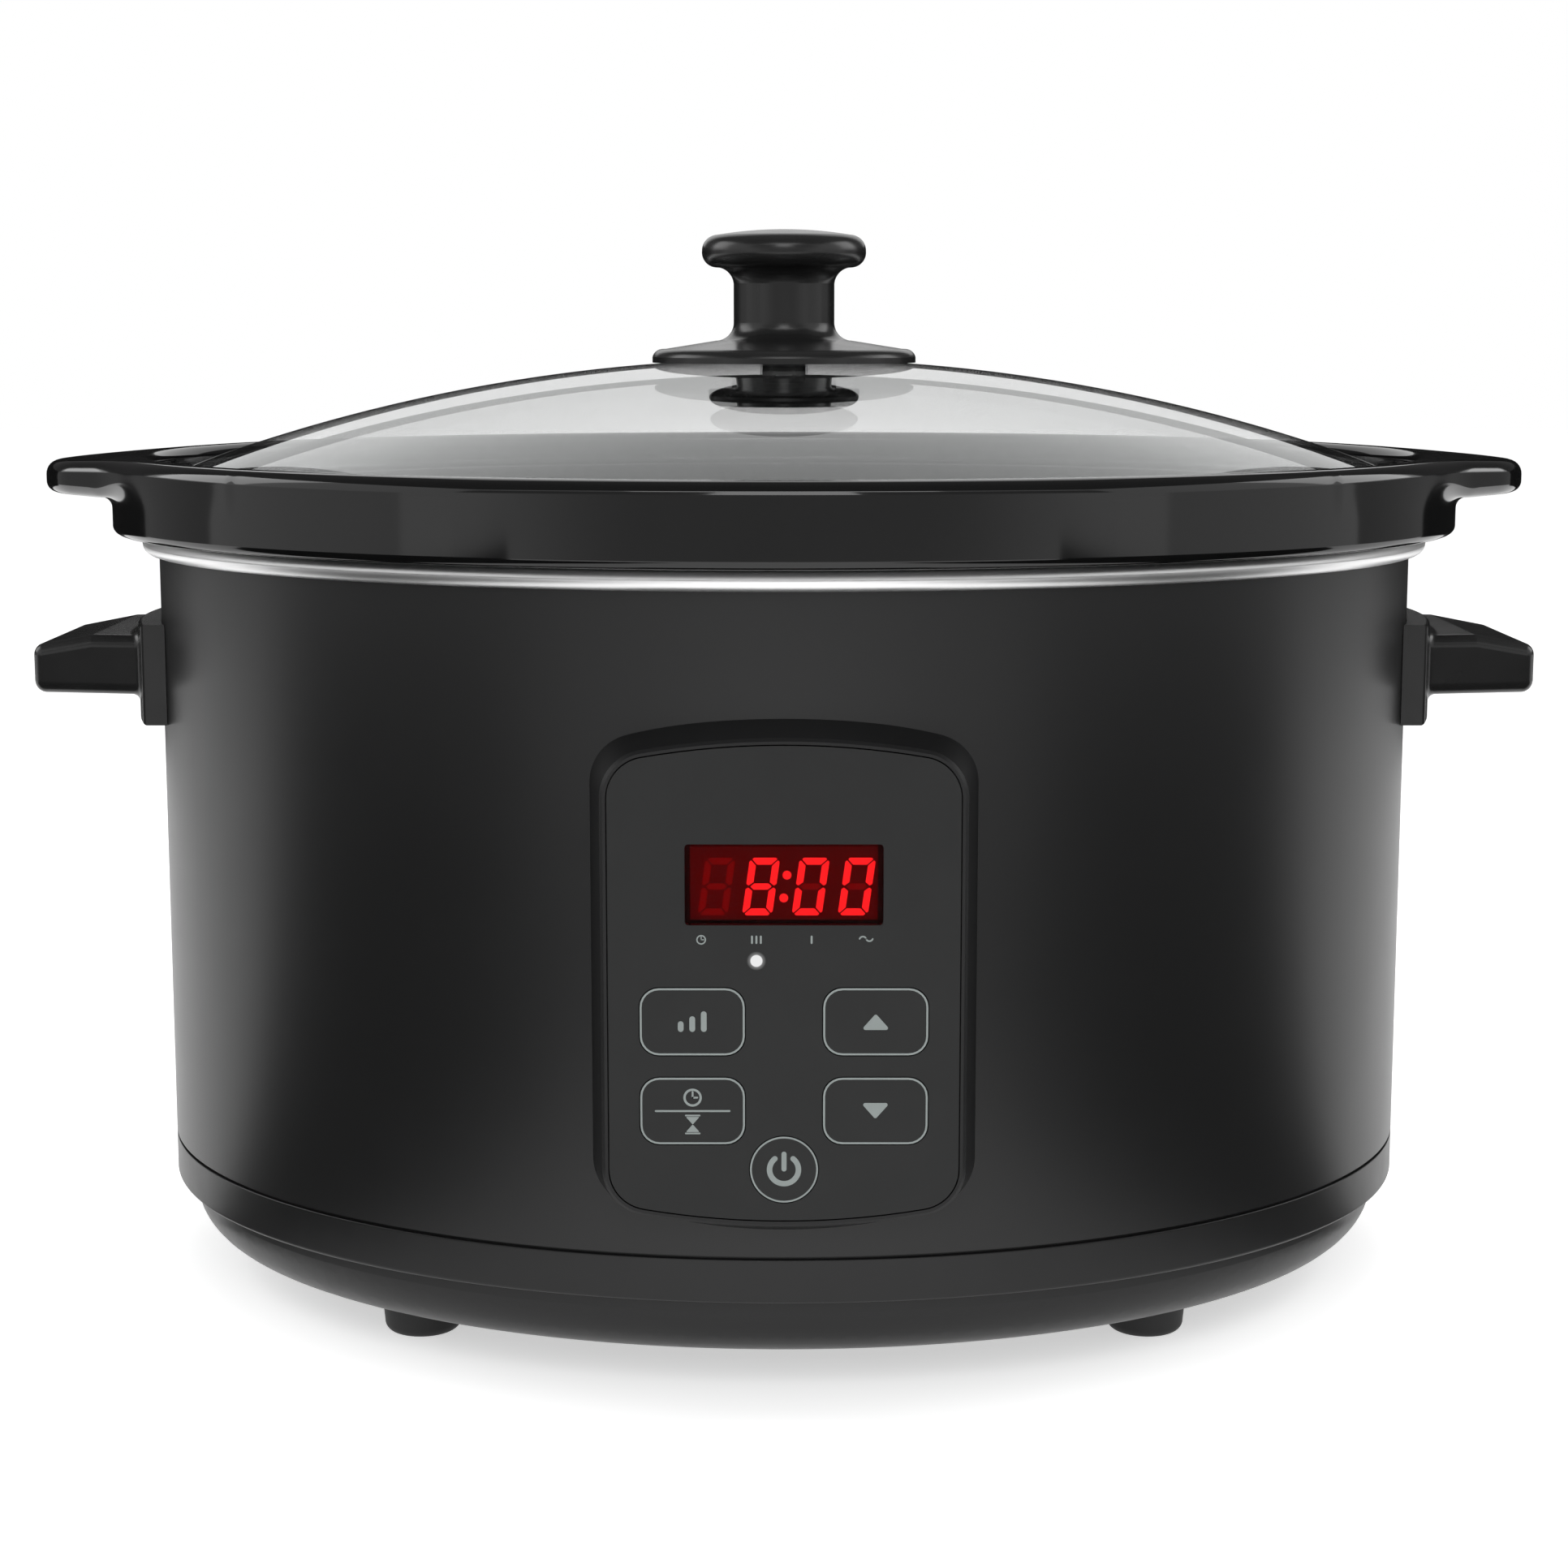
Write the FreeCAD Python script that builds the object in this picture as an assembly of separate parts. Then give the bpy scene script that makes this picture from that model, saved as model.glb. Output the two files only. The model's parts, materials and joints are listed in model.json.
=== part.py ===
"""Oval slow cooker: painted shell, heating liner, stoneware crock, glass lid and key panel.

Millimetres. The origin is on the table under the middle of the cooker, +Z is up,
and the control panel faces -Y. Every level of the body is an ellipse, given by how
far it stands outside the painted shell.
"""
import FreeCAD
import Part

import math
import os

V = FreeCAD.Vector
X_AXIS = V(1, 0, 0)
Y_AXIS = V(0, 1, 0)
Z_AXIS = V(0, 0, 1)

# Plan of the painted shell, which every other level is offset from
body_half_width = 158.4
body_half_depth = 132.3

# Heights from the table up
foot_height = 10.0
cover_height = 15.5
ring_height = 10.1
seam_gap = 0.8
shell_height = 150.1
rim_cap = 2.4
collar_gap = 0.3
collar_height = 18.8

# Shell, base ring and bottom cover
shell_wall = 0.8
ring_round = 0.8
cover_inset = 4.6
cover_wall = 2.5
cover_corner = 12.0
lip_fit = 0.3
lip_height = 6.0
lip_root = 4.0
ledge_inset = 0.5
spigot_height = 5.6
spigot_wall = 2.6

# Heating liner and its rolled rim
liner_inset = 10.6
liner_wall = 0.7
liner_corner = 10.0
bead_reach = 4.0
bead_height = 4.9
bead_gap = 0.25
bead_low_round = 2.4
bead_top_round = 2.2

# Heater band round the liner, open at the back where a strap closes it
heater_wall = 1.5
heater_height = 50.0
heater_middle_z = 100.0
heater_opening = 16.0
heater_fit = 0.05
clamp_wall = 1.0
clamp_width = 44.0
clamp_height = 24.0

# Stud that ties the liner to the bottom cover, and the shield on it
stud_radius = 2.5
stud_flange_radius = 9.0
stud_flange = 1.5
stud_shoulder_radius = 5.0
stud_shoulder = 8.0
stud_clearance = 0.3
stud_end = 1.0
nut_across_flats = 8.0
nut_height = 4.0
nut_recess_radius = 11.0
nut_recess_depth = 6.0
washer_radius = 8.0
washer_thickness = 1.2
shield_inset = 34.0
shield_clearance = 5.4
shield_thickness = 0.5

# Sensor and thermal fuse strapped to the liner's floor
probe_length = 16.0
sensor_radius = 3.0
fuse_radius = 2.2
probe_x = 42.0
probe_y = 20.0
strap_thickness = 0.8
strap_width = 8.0
strap_foot = 5.0
strap_fit = 0.1

# Feet
foot_inset = 31.5
foot_angle = 46.5
foot_top_radius = 9.9
foot_low_radius = 9.2
foot_round = 2.4
foot_bore_radius = 4.4
foot_bore_depth = 5.5
foot_screw_radius = 2.0
foot_screw_head_radius = 3.8
foot_screw_head = 2.4
foot_boss_radius = 5.0
foot_boss_height = 8.0
foot_boss_roof = 1.0
foot_screw_tip = 1.0
screw_clearance = 0.15

# Side handles
handle_middle_z = 154.5
handle_plate_height = 25.0
handle_plate_half_length = 35.0
handle_plate_wall = 5.7
handle_plate_round = 1.0
handle_fit = 0.1
grip_reach = 29.7
grip_flank_angle = 10.0
grip_root_inset = 4.2
grip_root_round = 2.0
grip_low = -5.6
grip_high = 9.3
grip_slope_reach = 15.7
grip_slope_drop = 2.9
grip_round = 3.0
grip_wall = 5.0
grip_recess_depth = 8.0
handle_screw_spacing = 44.0
handle_screw_radius = 2.0
handle_screw_length = 12.0
handle_hole_end = 1.0
handle_screw_head_radius = 3.8
handle_screw_head = 2.2
handle_washer_radius = 5.5
handle_washer = 1.6

# Control panel: a flat face on a drafted frame, with gently arched ends
panel_rise = 6.7
panel_middle_z = 99.2
panel_half_width = 39.65
panel_half_height = 54.0
panel_corner = 10.5
panel_arch = 181.0
panel_edge = 0.7
frame_depth = 19.0
frame_back_grow = 4.55
frame_back_rise = 8.9
frame_back_lift = 1.3
frame_back_corner = 13.0
frame_back_arch = 84.0
frame_fit = 0.1
frame_land = 1.35
frame_ledge = 2.5
plate_gap = 0.3
plate_thickness = 2.0
opening_margin = 0.7
corner_block = 9.0
board_margin = 1.0

# What the plate carries, as distances from the panel's middle
window_half_width = 21.35
window_half_height = 8.8
window_up = 22.2
window_corner = 0.9
window_fit = 0.05
window_recess = 0.15
lamp_pitch = 11.9
lamp_up = 5.55
lamp_radius = 1.2
lamp_skin = 0.5
lamp_fit = 0.1
key_half_width = 11.35
key_half_height = 7.42
key_corner = 4.2
key_aside = 19.85
upper_row_up = -7.9
lower_row_up = -27.75
power_key_radius = 7.4
power_key_up = -40.9
key_gap = 0.25
key_flange_gap = 0.1
key_flange = 0.8
key_flange_reach = 1.2
key_stem_radius = 2.0
key_travel = 0.5
key_stop_gap = 0.1

# Boards behind the panel
board_depth = 9.4
board_thickness = 1.6
switch_half_width = 3.0
switch_body = 3.5
switch_plunger = 1.2
switch_plunger_radius = 1.7
display_half_width = 20.2
display_half_height = 8.0
display_gap = 0.4
tray_gap = 1.5
tray_floor = 1.0
tray_rim = 4.6
tray_fit = 0.1
tray_boss_radius = 3.5
panel_screw_radius = 1.4
panel_screw_length = 8.0
panel_screw_head_radius = 2.8
panel_screw_head = 1.4
panel_screw_inset = 4.6

# Power electronics on the bottom cover
power_board_half_width = 40.0
power_board_half_depth = 25.0
power_board_y = 52.0
power_boss_radius = 3.5
power_boss_height = 4.0
power_boss_inset = 5.0
power_screw_radius = 1.4
power_screw_head_radius = 2.8
power_screw_head = 1.6
power_screw_length = 4.8
relay_size = (19.0, 15.5, 10.0)
relay_place = (-24.0, 6.0)
supply_size = (24.0, 18.0, 10.5)
supply_place = (2.0, 8.0)
capacitor_size = (17.0, 7.0, 10.5)
capacitor_place = (26.0, 6.0)
terminal_size = (22.0, 8.0, 9.5)
terminal_place = (4.0, -15.0)

# Wiring inside the body
ribbon_half_width = 7.0
ribbon_thickness = 1.0
ribbon_aside = 20.8
ribbon_bend = 3.0
ribbon_gap = 0.9
ribbon_up = -33.0
ribbon_slot = 2.0
ribbon_overlap = 4.0
wiring_inset = 4.0
wiring_drop = 3.5
lead_radius = 1.1
lead_aside = 7.0
lead_bend = 3.2
lead_overlap = 6.0

# Cord gland in the back of the shell
gland_rise = 19.6
gland_bore_radius = 3.75
gland_shank_radius = 6.8
gland_hole_fit = 0.2
gland_flange_radius = 9.5
gland_flange = 2.6
gland_fit = 0.05
gland_liner_gap = 2.0
gland_nut_radius = 9.4
gland_nut = 3.0

# Crock: drafted pot, thick collar and two lugs
crock_gap = 1.6
crock_draft = 4.5
crock_wall = 7.5
crock_floor = 9.0
crock_lift = 3.3
crock_corner = 15.0
collar_reach = 11.1
collar_low_round = 1.8
collar_top_round = 3.6
collar_inner_round = 2.6
lid_ledge_depth = 8.5
lid_ledge_out = 1.6
lid_ledge_in = -10.4
shoulder_height = 10.0
lug_reach = 18.2
lug_nose_radius = 46.7
lug_root_angle = 29.48
lug_thickness = 10.0
lug_low_round = 3.0
lug_blend = 9.0
lug_root_inset = 3.5

# Lid: domed glass and its knob
lid_offset = -4.4
lid_gap = 0.3
glass_thickness = 4.0
glass_rise = 27.8
glass_round = 1.4
glass_hole_radius = 6.0
knob_shaft_radius = 5.5
knob_gap = 0.35
knob_height = 33.4
knob_skirt_radius = 33.5
knob_skirt_edge = 1.4
knob_skirt_slope = 2.0
knob_skirt_crown = 2.1
knob_skirt_round = 3.0
knob_skirt_wall = 2.0
knob_stem_radius = 12.8
knob_stem_flare = 4.5
knob_head_radius = 20.8
knob_head_height = 9.5
knob_head_crown = 1.4
knob_head_round = 3.8
knob_head_under = 3.2
knob_neck = 4.1
gasket_radius = 18.0
gasket_fit = 0.05
retainer_radius = 19.2
retainer_neck_radius = 13.3
retainer_neck = 3.4
retainer_disc = 4.2
retainer_round = 3.0
retainer_gap = 0.3
knob_screw_radius = 2.0
knob_screw_head_radius = 4.2
knob_screw_head = 2.6
knob_screw_bite = 17.0
knob_screw_sink = 1.0
knob_hole_end = 1.0

# Levels worked out from the heights
cover_z = foot_height
ring_z = cover_z + cover_height
seam_z = ring_z + ring_height
shell_z = seam_z + seam_gap
shell_top_z = shell_z + shell_height
rim_z = shell_top_z + rim_cap
collar_z = rim_z + collar_gap
crock_top_z = collar_z + collar_height
cover_floor_z = cover_z + cover_wall
board_top_z = cover_floor_z + power_boss_height + board_thickness
tallest_component = max(size[2] for size in (relay_size, supply_size, capacitor_size, terminal_size))
shield_z = board_top_z + tallest_component + shield_clearance
liner_floor_z = shield_z + shield_thickness + stud_shoulder + stud_flange
gland_z = shell_z + gland_rise
ledge_z = crock_top_z - lid_ledge_depth
panel_y = -(body_half_depth + panel_rise)

touch = 0.001
seat_tolerance = 0.05
spare = 5.0


def oval_wire(offset, z):
    """Ellipse that stands offset outside the shell's plan, in two halves that meet on a diagonal."""
    half_x = body_half_width + offset
    half_y = body_half_depth + offset
    curve = Part.Ellipse(V(0, 0, z), max(half_x, half_y), min(half_x, half_y))
    diagonal = math.pi / 4
    wire = Part.Wire([curve.toShape(diagonal + i * math.pi, diagonal + (i + 1) * math.pi) for i in (0, 1)])
    if half_y > half_x:
        wire.rotate(V(0, 0, z), Z_AXIS, 90)
    return wire


def oval_prism(offset, low, high):
    return Part.Face(oval_wire(offset, low)).extrude(V(0, 0, high - low))


def oval_ring(outer, inner, low, high):
    return oval_prism(outer, low, high).cut(oval_prism(inner, low - spare, high + spare))


def oval_stack(levels):
    """Solid with straight walls from each (offset, z) level to the next."""
    return Part.makeLoft([oval_wire(offset, z) for offset, z in levels], True, True)


def oval_x(offset, y):
    return (body_half_width + offset) * math.sqrt(1 - (y / (body_half_depth + offset)) ** 2)


def oval_y(offset, x):
    return (body_half_depth + offset) * math.sqrt(1 - (x / (body_half_width + offset)) ** 2)


def block(x0, x1, y0, y1, z0, z1):
    return Part.makeBox(x1 - x0, y1 - y0, z1 - z0, V(x0, y0, z0))


def rod(radius, start, axis, length):
    return Part.makeCylinder(radius, length, start, axis)


def edges_at_height(shape, z):
    return [e for e in shape.Edges if abs(e.BoundBox.ZMin - z) < touch and abs(e.BoundBox.ZMax - z) < touch]


def round_level(shape, z, radius):
    return shape.makeFillet(radius, edges_at_height(shape, z))


def line(a, b):
    return Part.LineSegment(a, b).toShape()


def arc(a, b, c):
    return Part.Arc(a, b, c).toShape()


def prism(edges, along):
    return Part.Face(Part.Wire(edges)).extrude(along)


def mirrored(shape):
    return shape.mirror(V(0, 0, 0), X_AXIS)


def hexagon(across_flats, low, high):
    radius = across_flats / math.sqrt(3)
    corners = [V(radius * math.cos(math.radians(60 * i)), radius * math.sin(math.radians(60 * i)), low)
               for i in range(7)]
    return Part.Face(Part.makePolygon(corners)).extrude(V(0, 0, high - low))


def behind(depth):
    """Y of a place that lies a depth behind the panel's face."""
    return panel_y + depth


# Base: ring, cover, feet


def base_ring():
    inner = -(cover_inset + cover_wall + lip_fit)
    spigot_out = -(shell_wall + lip_fit)
    spigot_in = spigot_out - spigot_wall
    ring = round_level(oval_prism(0, ring_z, seam_z), ring_z, ring_round)
    ring = ring.cut(oval_prism(inner, ring_z - spare, seam_z + spare))
    ledge = oval_ring(-ledge_inset, spigot_in, seam_z, shell_z)
    spigot = oval_ring(spigot_out, spigot_in, shell_z, shell_z + spigot_height)
    return ring.fuse([ledge, spigot]).removeSplitter()


def foot_places():
    across = (body_half_width - foot_inset) * math.cos(math.radians(foot_angle))
    along = (body_half_depth - foot_inset) * math.sin(math.radians(foot_angle))
    return {
        "front_left_foot": V(-across, -along, 0),
        "front_right_foot": V(across, -along, 0),
        "rear_left_foot": V(-across, along, 0),
        "rear_right_foot": V(across, along, 0),
    }


def power_boss_places():
    across = power_board_half_width - power_boss_inset
    along = power_board_half_depth - power_boss_inset
    return [V(sx * across, power_board_y + sy * along, 0) for sx in (-1, 1) for sy in (-1, 1)]


def bottom_cover():
    outer = round_level(oval_prism(-cover_inset, cover_z, ring_z), cover_z, cover_corner)
    inner_offset = -(cover_inset + cover_wall)
    inner = oval_prism(inner_offset, cover_floor_z, ring_z + spare)
    inner = round_level(inner, cover_floor_z, cover_corner - cover_wall)
    cover = outer.cut(inner)
    lip_out = inner_offset - lip_fit * 2
    lip_in = lip_out - cover_wall
    lip = oval_prism(lip_out, ring_z - lip_root, ring_z + lip_height)
    lip = lip.fuse(oval_prism(inner_offset + lip_fit, ring_z - lip_root, ring_z))
    lip = lip.cut(oval_prism(lip_in, ring_z - lip_root - spare, ring_z + lip_height + spare))
    tower_top = cover_z + nut_recess_depth + cover_wall
    tower = rod(nut_recess_radius + cover_wall, V(0, 0, cover_z), Z_AXIS, tower_top - cover_z)
    bosses = [rod(foot_boss_radius, V(p.x, p.y, cover_z), Z_AXIS, cover_wall + foot_boss_height)
              for p in foot_places().values()]
    bosses += [rod(power_boss_radius, V(p.x, p.y, cover_z), Z_AXIS, cover_wall + power_boss_height)
               for p in power_boss_places()]
    cover = cover.fuse([lip, tower] + bosses).removeSplitter()
    cuts = [rod(nut_recess_radius, V(0, 0, cover_z - spare), Z_AXIS, nut_recess_depth + spare),
            rod(stud_radius + stud_clearance, V(0, 0, cover_z), Z_AXIS, tower_top)]
    for p in foot_places().values():
        cuts.append(rod(foot_screw_radius + screw_clearance, V(p.x, p.y, cover_z - spare), Z_AXIS,
                        spare + cover_wall + foot_boss_height - foot_boss_roof))
    for p in power_boss_places():
        cuts.append(rod(power_screw_radius + screw_clearance, V(p.x, p.y, cover_floor_z), Z_AXIS,
                        power_boss_height + spare))
    return cover.cut(cuts)


def foot(place):
    profile = [
        line(V(0, 0, 0), V(foot_low_radius - foot_round, 0, 0)),
        arc(V(foot_low_radius - foot_round, 0, 0),
            V(foot_low_radius - foot_round * (1 - math.sin(math.pi / 4)), 0,
              foot_round * (1 - math.cos(math.pi / 4))),
            V(foot_low_radius, 0, foot_round)),
        line(V(foot_low_radius, 0, foot_round), V(foot_top_radius, 0, foot_height)),
        line(V(foot_top_radius, 0, foot_height), V(0, 0, foot_height)),
        line(V(0, 0, foot_height), V(0, 0, 0)),
    ]
    pad = Part.Face(Part.Wire(profile)).revolve(V(0, 0, 0), Z_AXIS, 360)
    pad = pad.cut(rod(foot_bore_radius, V(0, 0, -spare), Z_AXIS, spare + foot_bore_depth))
    pad = pad.cut(rod(foot_screw_radius + screw_clearance, V(0, 0, 0), Z_AXIS, foot_height + spare))
    pad.translate(place)
    return pad


def foot_screws():
    screws = []
    reach = foot_height - foot_bore_depth + cover_wall + foot_boss_height - foot_boss_roof - foot_screw_tip
    for p in foot_places().values():
        seat = V(p.x, p.y, foot_bore_depth)
        head = rod(foot_screw_head_radius, seat - V(0, 0, foot_screw_head), Z_AXIS, foot_screw_head)
        screws.append(head.fuse(rod(foot_screw_radius, seat, Z_AXIS, reach)).removeSplitter())
    return Part.makeCompound(screws)


# Body: shell, liner, heater


def handle_screw_places():
    half = handle_screw_spacing / 2
    return [(side, y) for side in (-1, 1) for y in (-half, half)]


def outer_shell():
    shell = oval_ring(0, -shell_wall, shell_z, shell_top_z)
    shell = shell.cut(panel_prism(panel_opening(), -spare, frame_depth))
    for side, y in handle_screw_places():
        start = V(side * (body_half_width - liner_inset), y, handle_middle_z)
        shell = shell.cut(rod(handle_screw_radius + screw_clearance, start, V(side, 0, 0),
                              liner_inset + spare))
    start = V(0, body_half_depth - liner_inset, gland_z)
    return shell.cut(rod(gland_shank_radius + gland_hole_fit, start, Y_AXIS, liner_inset + spare))


def heating_liner():
    pot = round_level(oval_prism(-liner_inset, liner_floor_z, rim_z), liner_floor_z, liner_corner)
    rim = oval_prism(bead_reach, rim_z - bead_height, rim_z)
    rim = round_level(rim, rim_z - bead_height, bead_low_round)
    rim = round_level(rim, rim_z, bead_top_round)
    hollow = oval_prism(bead_gap, rim_z - bead_height - spare, shell_top_z + bead_gap)
    rim = rim.cut(hollow)
    inside = oval_prism(-liner_inset - liner_wall, liner_floor_z + liner_wall, rim_z + spare)
    inside = round_level(inside, liner_floor_z + liner_wall, liner_corner - liner_wall)
    return pot.fuse(rim).removeSplitter().cut(inside)


def heater_band():
    inner = -liner_inset + heater_fit
    low = heater_middle_z - heater_height / 2
    band = oval_ring(inner + heater_wall, inner, low, low + heater_height)
    gap = block(-heater_opening / 2, heater_opening / 2, 0, body_half_depth, low - spare,
                low + heater_height + spare)
    return band.cut(gap)


def band_clamp():
    inner = -liner_inset + 2 * heater_fit + heater_wall
    low = heater_middle_z - clamp_height / 2
    strap = oval_ring(inner + clamp_wall, inner, low, low + clamp_height)
    return strap.common(block(-clamp_width / 2, clamp_width / 2, 0, body_half_depth, low,
                              low + clamp_height))


def tie_stud():
    top = liner_floor_z
    shoulder_low = top - stud_flange - stud_shoulder
    low = cover_z + stud_end
    stud = rod(stud_flange_radius, V(0, 0, top - stud_flange), Z_AXIS, stud_flange)
    stud = stud.fuse(rod(stud_shoulder_radius, V(0, 0, shoulder_low), Z_AXIS, stud_shoulder))
    return stud.fuse(rod(stud_radius, V(0, 0, low), Z_AXIS, shoulder_low - low)).removeSplitter()


def nut(low):
    blank = hexagon(nut_across_flats, low, low + nut_height)
    return blank.cut(rod(stud_radius + touch, V(0, 0, low - spare), Z_AXIS, nut_height + 2 * spare))


def tie_washer():
    top = cover_z + nut_recess_depth
    ring = rod(washer_radius, V(0, 0, top - washer_thickness), Z_AXIS, washer_thickness)
    return ring.cut(rod(stud_radius + stud_clearance, V(0, 0, 0), Z_AXIS, top + spare))


def bottom_heat_shield():
    plate = oval_prism(-shield_inset, shield_z, shield_z + shield_thickness)
    return plate.cut(rod(stud_radius + stud_clearance, V(0, 0, 0), Z_AXIS, rim_z))


def probe(side, radius):
    start = V(side * probe_x - probe_length / 2, probe_y, liner_floor_z - radius)
    return rod(radius, start, X_AXIS, probe_length)


def probe_strap(side, radius):
    inner = radius + strap_fit
    outer = inner + strap_thickness
    middle_z = liner_floor_z - radius
    x0 = side * probe_x - strap_width / 2
    x1 = x0 + strap_width
    reach = outer + strap_foot
    saddle = rod(outer, V(x0, probe_y, middle_z), X_AXIS, strap_width)
    saddle = saddle.fuse(block(x0, x1, probe_y - outer, probe_y + outer, middle_z, liner_floor_z))
    saddle = saddle.fuse(block(x0, x1, probe_y - reach, probe_y + reach, liner_floor_z - strap_thickness,
                               liner_floor_z))
    saddle = saddle.cut(rod(inner, V(x0 - spare, probe_y, middle_z), X_AXIS, strap_width + 2 * spare))
    saddle = saddle.cut(block(x0 - spare, x1 + spare, probe_y - inner, probe_y + inner, middle_z,
                              liner_floor_z + spare))
    top = block(x0 - spare, x1 + spare, probe_y - reach - spare, probe_y + reach + spare, liner_floor_z,
                liner_floor_z + 2 * spare)
    return saddle.cut(top).removeSplitter()


# Side handles


def handle(side):
    low = handle_middle_z - handle_plate_height / 2
    high = low + handle_plate_height
    plate = oval_ring(handle_plate_wall + handle_fit, handle_fit - spare, low, high)
    plate = plate.common(block(0, body_half_width + 2 * handle_plate_wall, -handle_plate_half_length,
                               handle_plate_half_length, low, high))
    outer_face = max(plate.Faces, key=lambda f: f.CenterOfMass.x)
    plate = plate.makeFillet(handle_plate_round, outer_face.Edges)
    shape = plate.fuse(grip()).removeSplitter()
    shape = shape.makeFillet(grip_root_round, [e for e in shape.Edges if at_grip_root(e)])
    shape = shape.cut(oval_prism(handle_fit, low - spare, high + spare))
    for screw_side, y in handle_screw_places():
        if screw_side > 0:
            start = V(body_half_width - liner_inset, y, handle_middle_z)
            end_x = handle_screw_seat(y) + handle_screw_length + handle_hole_end
            shape = shape.cut(rod(handle_screw_radius + screw_clearance, start, X_AXIS, end_x - start.x))
    return shape if side > 0 else mirrored(shape)


def at_grip_root(edge):
    """Whether an edge is where the grip leaves the plate's outer face."""
    middle = edge.valueAt((edge.FirstParameter + edge.LastParameter) / 2)
    on_face = abs(middle.x - oval_x(handle_plate_wall + handle_fit, middle.y)) < seat_tolerance
    from_end = handle_plate_half_length - abs(middle.y)
    from_edge = handle_plate_height / 2 - abs(middle.z - handle_middle_z)
    return on_face and min(from_end, from_edge) > handle_plate_round + seat_tolerance


def grip_plan(inset, root_x):
    """Edges of the grip seen from above: flanks that close in a little towards a flat nose."""
    lean = math.tan(math.radians(grip_flank_angle))
    corners = []
    for x in (root_x, body_half_width + grip_reach - inset):
        half = handle_plate_half_length - grip_root_inset - inset - lean * (x - body_half_width)
        corners.append((V(x, -half, 0), V(x, half, 0)))
    (low_root, root), (low_nose, nose) = corners
    return [line(low_root, low_nose), line(low_nose, nose), line(nose, root), line(root, low_root)]


def grip():
    root_x = oval_x(handle_plate_wall, handle_plate_half_length) - spare
    low = handle_middle_z + grip_low
    high = handle_middle_z + grip_high
    tip_x = body_half_width + grip_reach
    slope_x = tip_x - grip_slope_reach
    solid = prism(grip_plan(0, root_x), V(0, 0, high - low))
    solid.translate(V(0, 0, low))
    wide = 2 * body_half_depth
    wedge = [V(slope_x, -wide, high), V(tip_x, -wide, high - grip_slope_drop),
             V(tip_x + spare, -wide, high - grip_slope_drop), V(tip_x + spare, -wide, high + spare),
             V(slope_x, -wide, high + spare), V(slope_x, -wide, high)]
    solid = solid.cut(Part.Face(Part.makePolygon(wedge)).extrude(V(0, 2 * wide, 0)))
    rim = [e for e in solid.Edges if e.BoundBox.XMax > slope_x + touch or e.BoundBox.XLength > touch]
    solid = solid.makeFillet(grip_round, rim)
    recess = prism(grip_plan(grip_wall, root_x + handle_plate_wall), V(0, 0, grip_recess_depth + spare))
    recess.translate(V(0, 0, low - spare))
    keep_clear = oval_prism(handle_plate_wall + grip_wall, low - 2 * spare, high)
    return solid.cut(recess.cut(keep_clear))


def handle_screw_seat(y):
    """X of the flat face that a handle screw's head is drawn against, inside the shell."""
    return oval_x(-shell_wall, abs(y) + handle_washer_radius) - handle_washer


def handle_washers():
    rings = []
    for side, y in handle_screw_places():
        seat = handle_screw_seat(y)
        ring = rod(handle_washer_radius, V(seat, y, handle_middle_z), X_AXIS, liner_inset)
        ring = ring.common(oval_prism(-shell_wall - touch, shell_z, shell_top_z))
        ring = ring.cut(rod(handle_screw_radius + screw_clearance, V(0, y, handle_middle_z), X_AXIS,
                            body_half_width + spare))
        rings.append(ring if side > 0 else mirrored(ring))
    return Part.makeCompound(rings)


def handle_screws():
    screws = []
    for side, y in handle_screw_places():
        seat = V(handle_screw_seat(y), y, handle_middle_z)
        head = rod(handle_screw_head_radius, seat - V(handle_screw_head, 0, 0), X_AXIS, handle_screw_head)
        screw = head.fuse(rod(handle_screw_radius, seat, X_AXIS, handle_screw_length)).removeSplitter()
        screws.append(screw if side > 0 else mirrored(screw))
    return Part.makeCompound(screws)


# Control panel


def panel_wire(half_width, half_height, corner, arch, y, middle_z):
    """Outline with straight sides, arched top and bottom, and tangent round corners."""
    across = half_width - corner
    up = math.sqrt((arch - corner) ** 2 - across ** 2)
    turn = math.atan2(up, across)
    corner_up = half_height - arch + up

    def at(side, end, x, z):
        return V(side * x, y, middle_z + end * z)

    def bend(side, end):
        half = turn / 2
        return [at(side, end, half_width, corner_up),
                at(side, end, across + corner * math.cos(half), corner_up + corner * math.sin(half)),
                at(side, end, across + corner * math.cos(turn), corner_up + corner * math.sin(turn))]

    top_right, top_left = bend(1, 1), bend(-1, 1)
    low_right, low_left = bend(1, -1), bend(-1, -1)
    return Part.Wire([
        line(low_right[0], top_right[0]),
        arc(*top_right),
        arc(top_right[2], at(1, 1, 0, half_height), top_left[2]),
        arc(*reversed(top_left)),
        line(top_left[0], low_left[0]),
        arc(*low_left),
        arc(low_left[2], at(1, -1, 0, half_height), low_right[2]),
        arc(*reversed(low_right)),
    ])


def panel_outline(grow, y):
    """The panel's front outline, grown or shrunk all round."""
    return panel_wire(panel_half_width + grow, panel_half_height + grow, panel_corner + grow,
                      panel_arch + grow, y, panel_middle_z)


def frame_opening():
    """How far the frame's opening lies inside its front outline, as a negative growth."""
    return -(frame_land + plate_gap + frame_ledge)


def panel_opening():
    """The hole in the shell behind the panel, a little larger than the frame's opening."""
    return frame_opening() + opening_margin


def panel_prism(grow, front, back):
    return Part.Face(panel_outline(grow, behind(front))).extrude(V(0, back - front, 0))


def corner_places(inset):
    """Places in the four corners of the frame's opening, in from its sides."""
    x = panel_half_width + frame_opening() - inset
    sag = panel_arch - math.sqrt(panel_arch ** 2 - x ** 2)
    z = panel_half_height + frame_opening() - inset - sag
    return [V(sx * x, 0, panel_middle_z + sz * z) for sx in (-1, 1) for sz in (-1, 1)]


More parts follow.
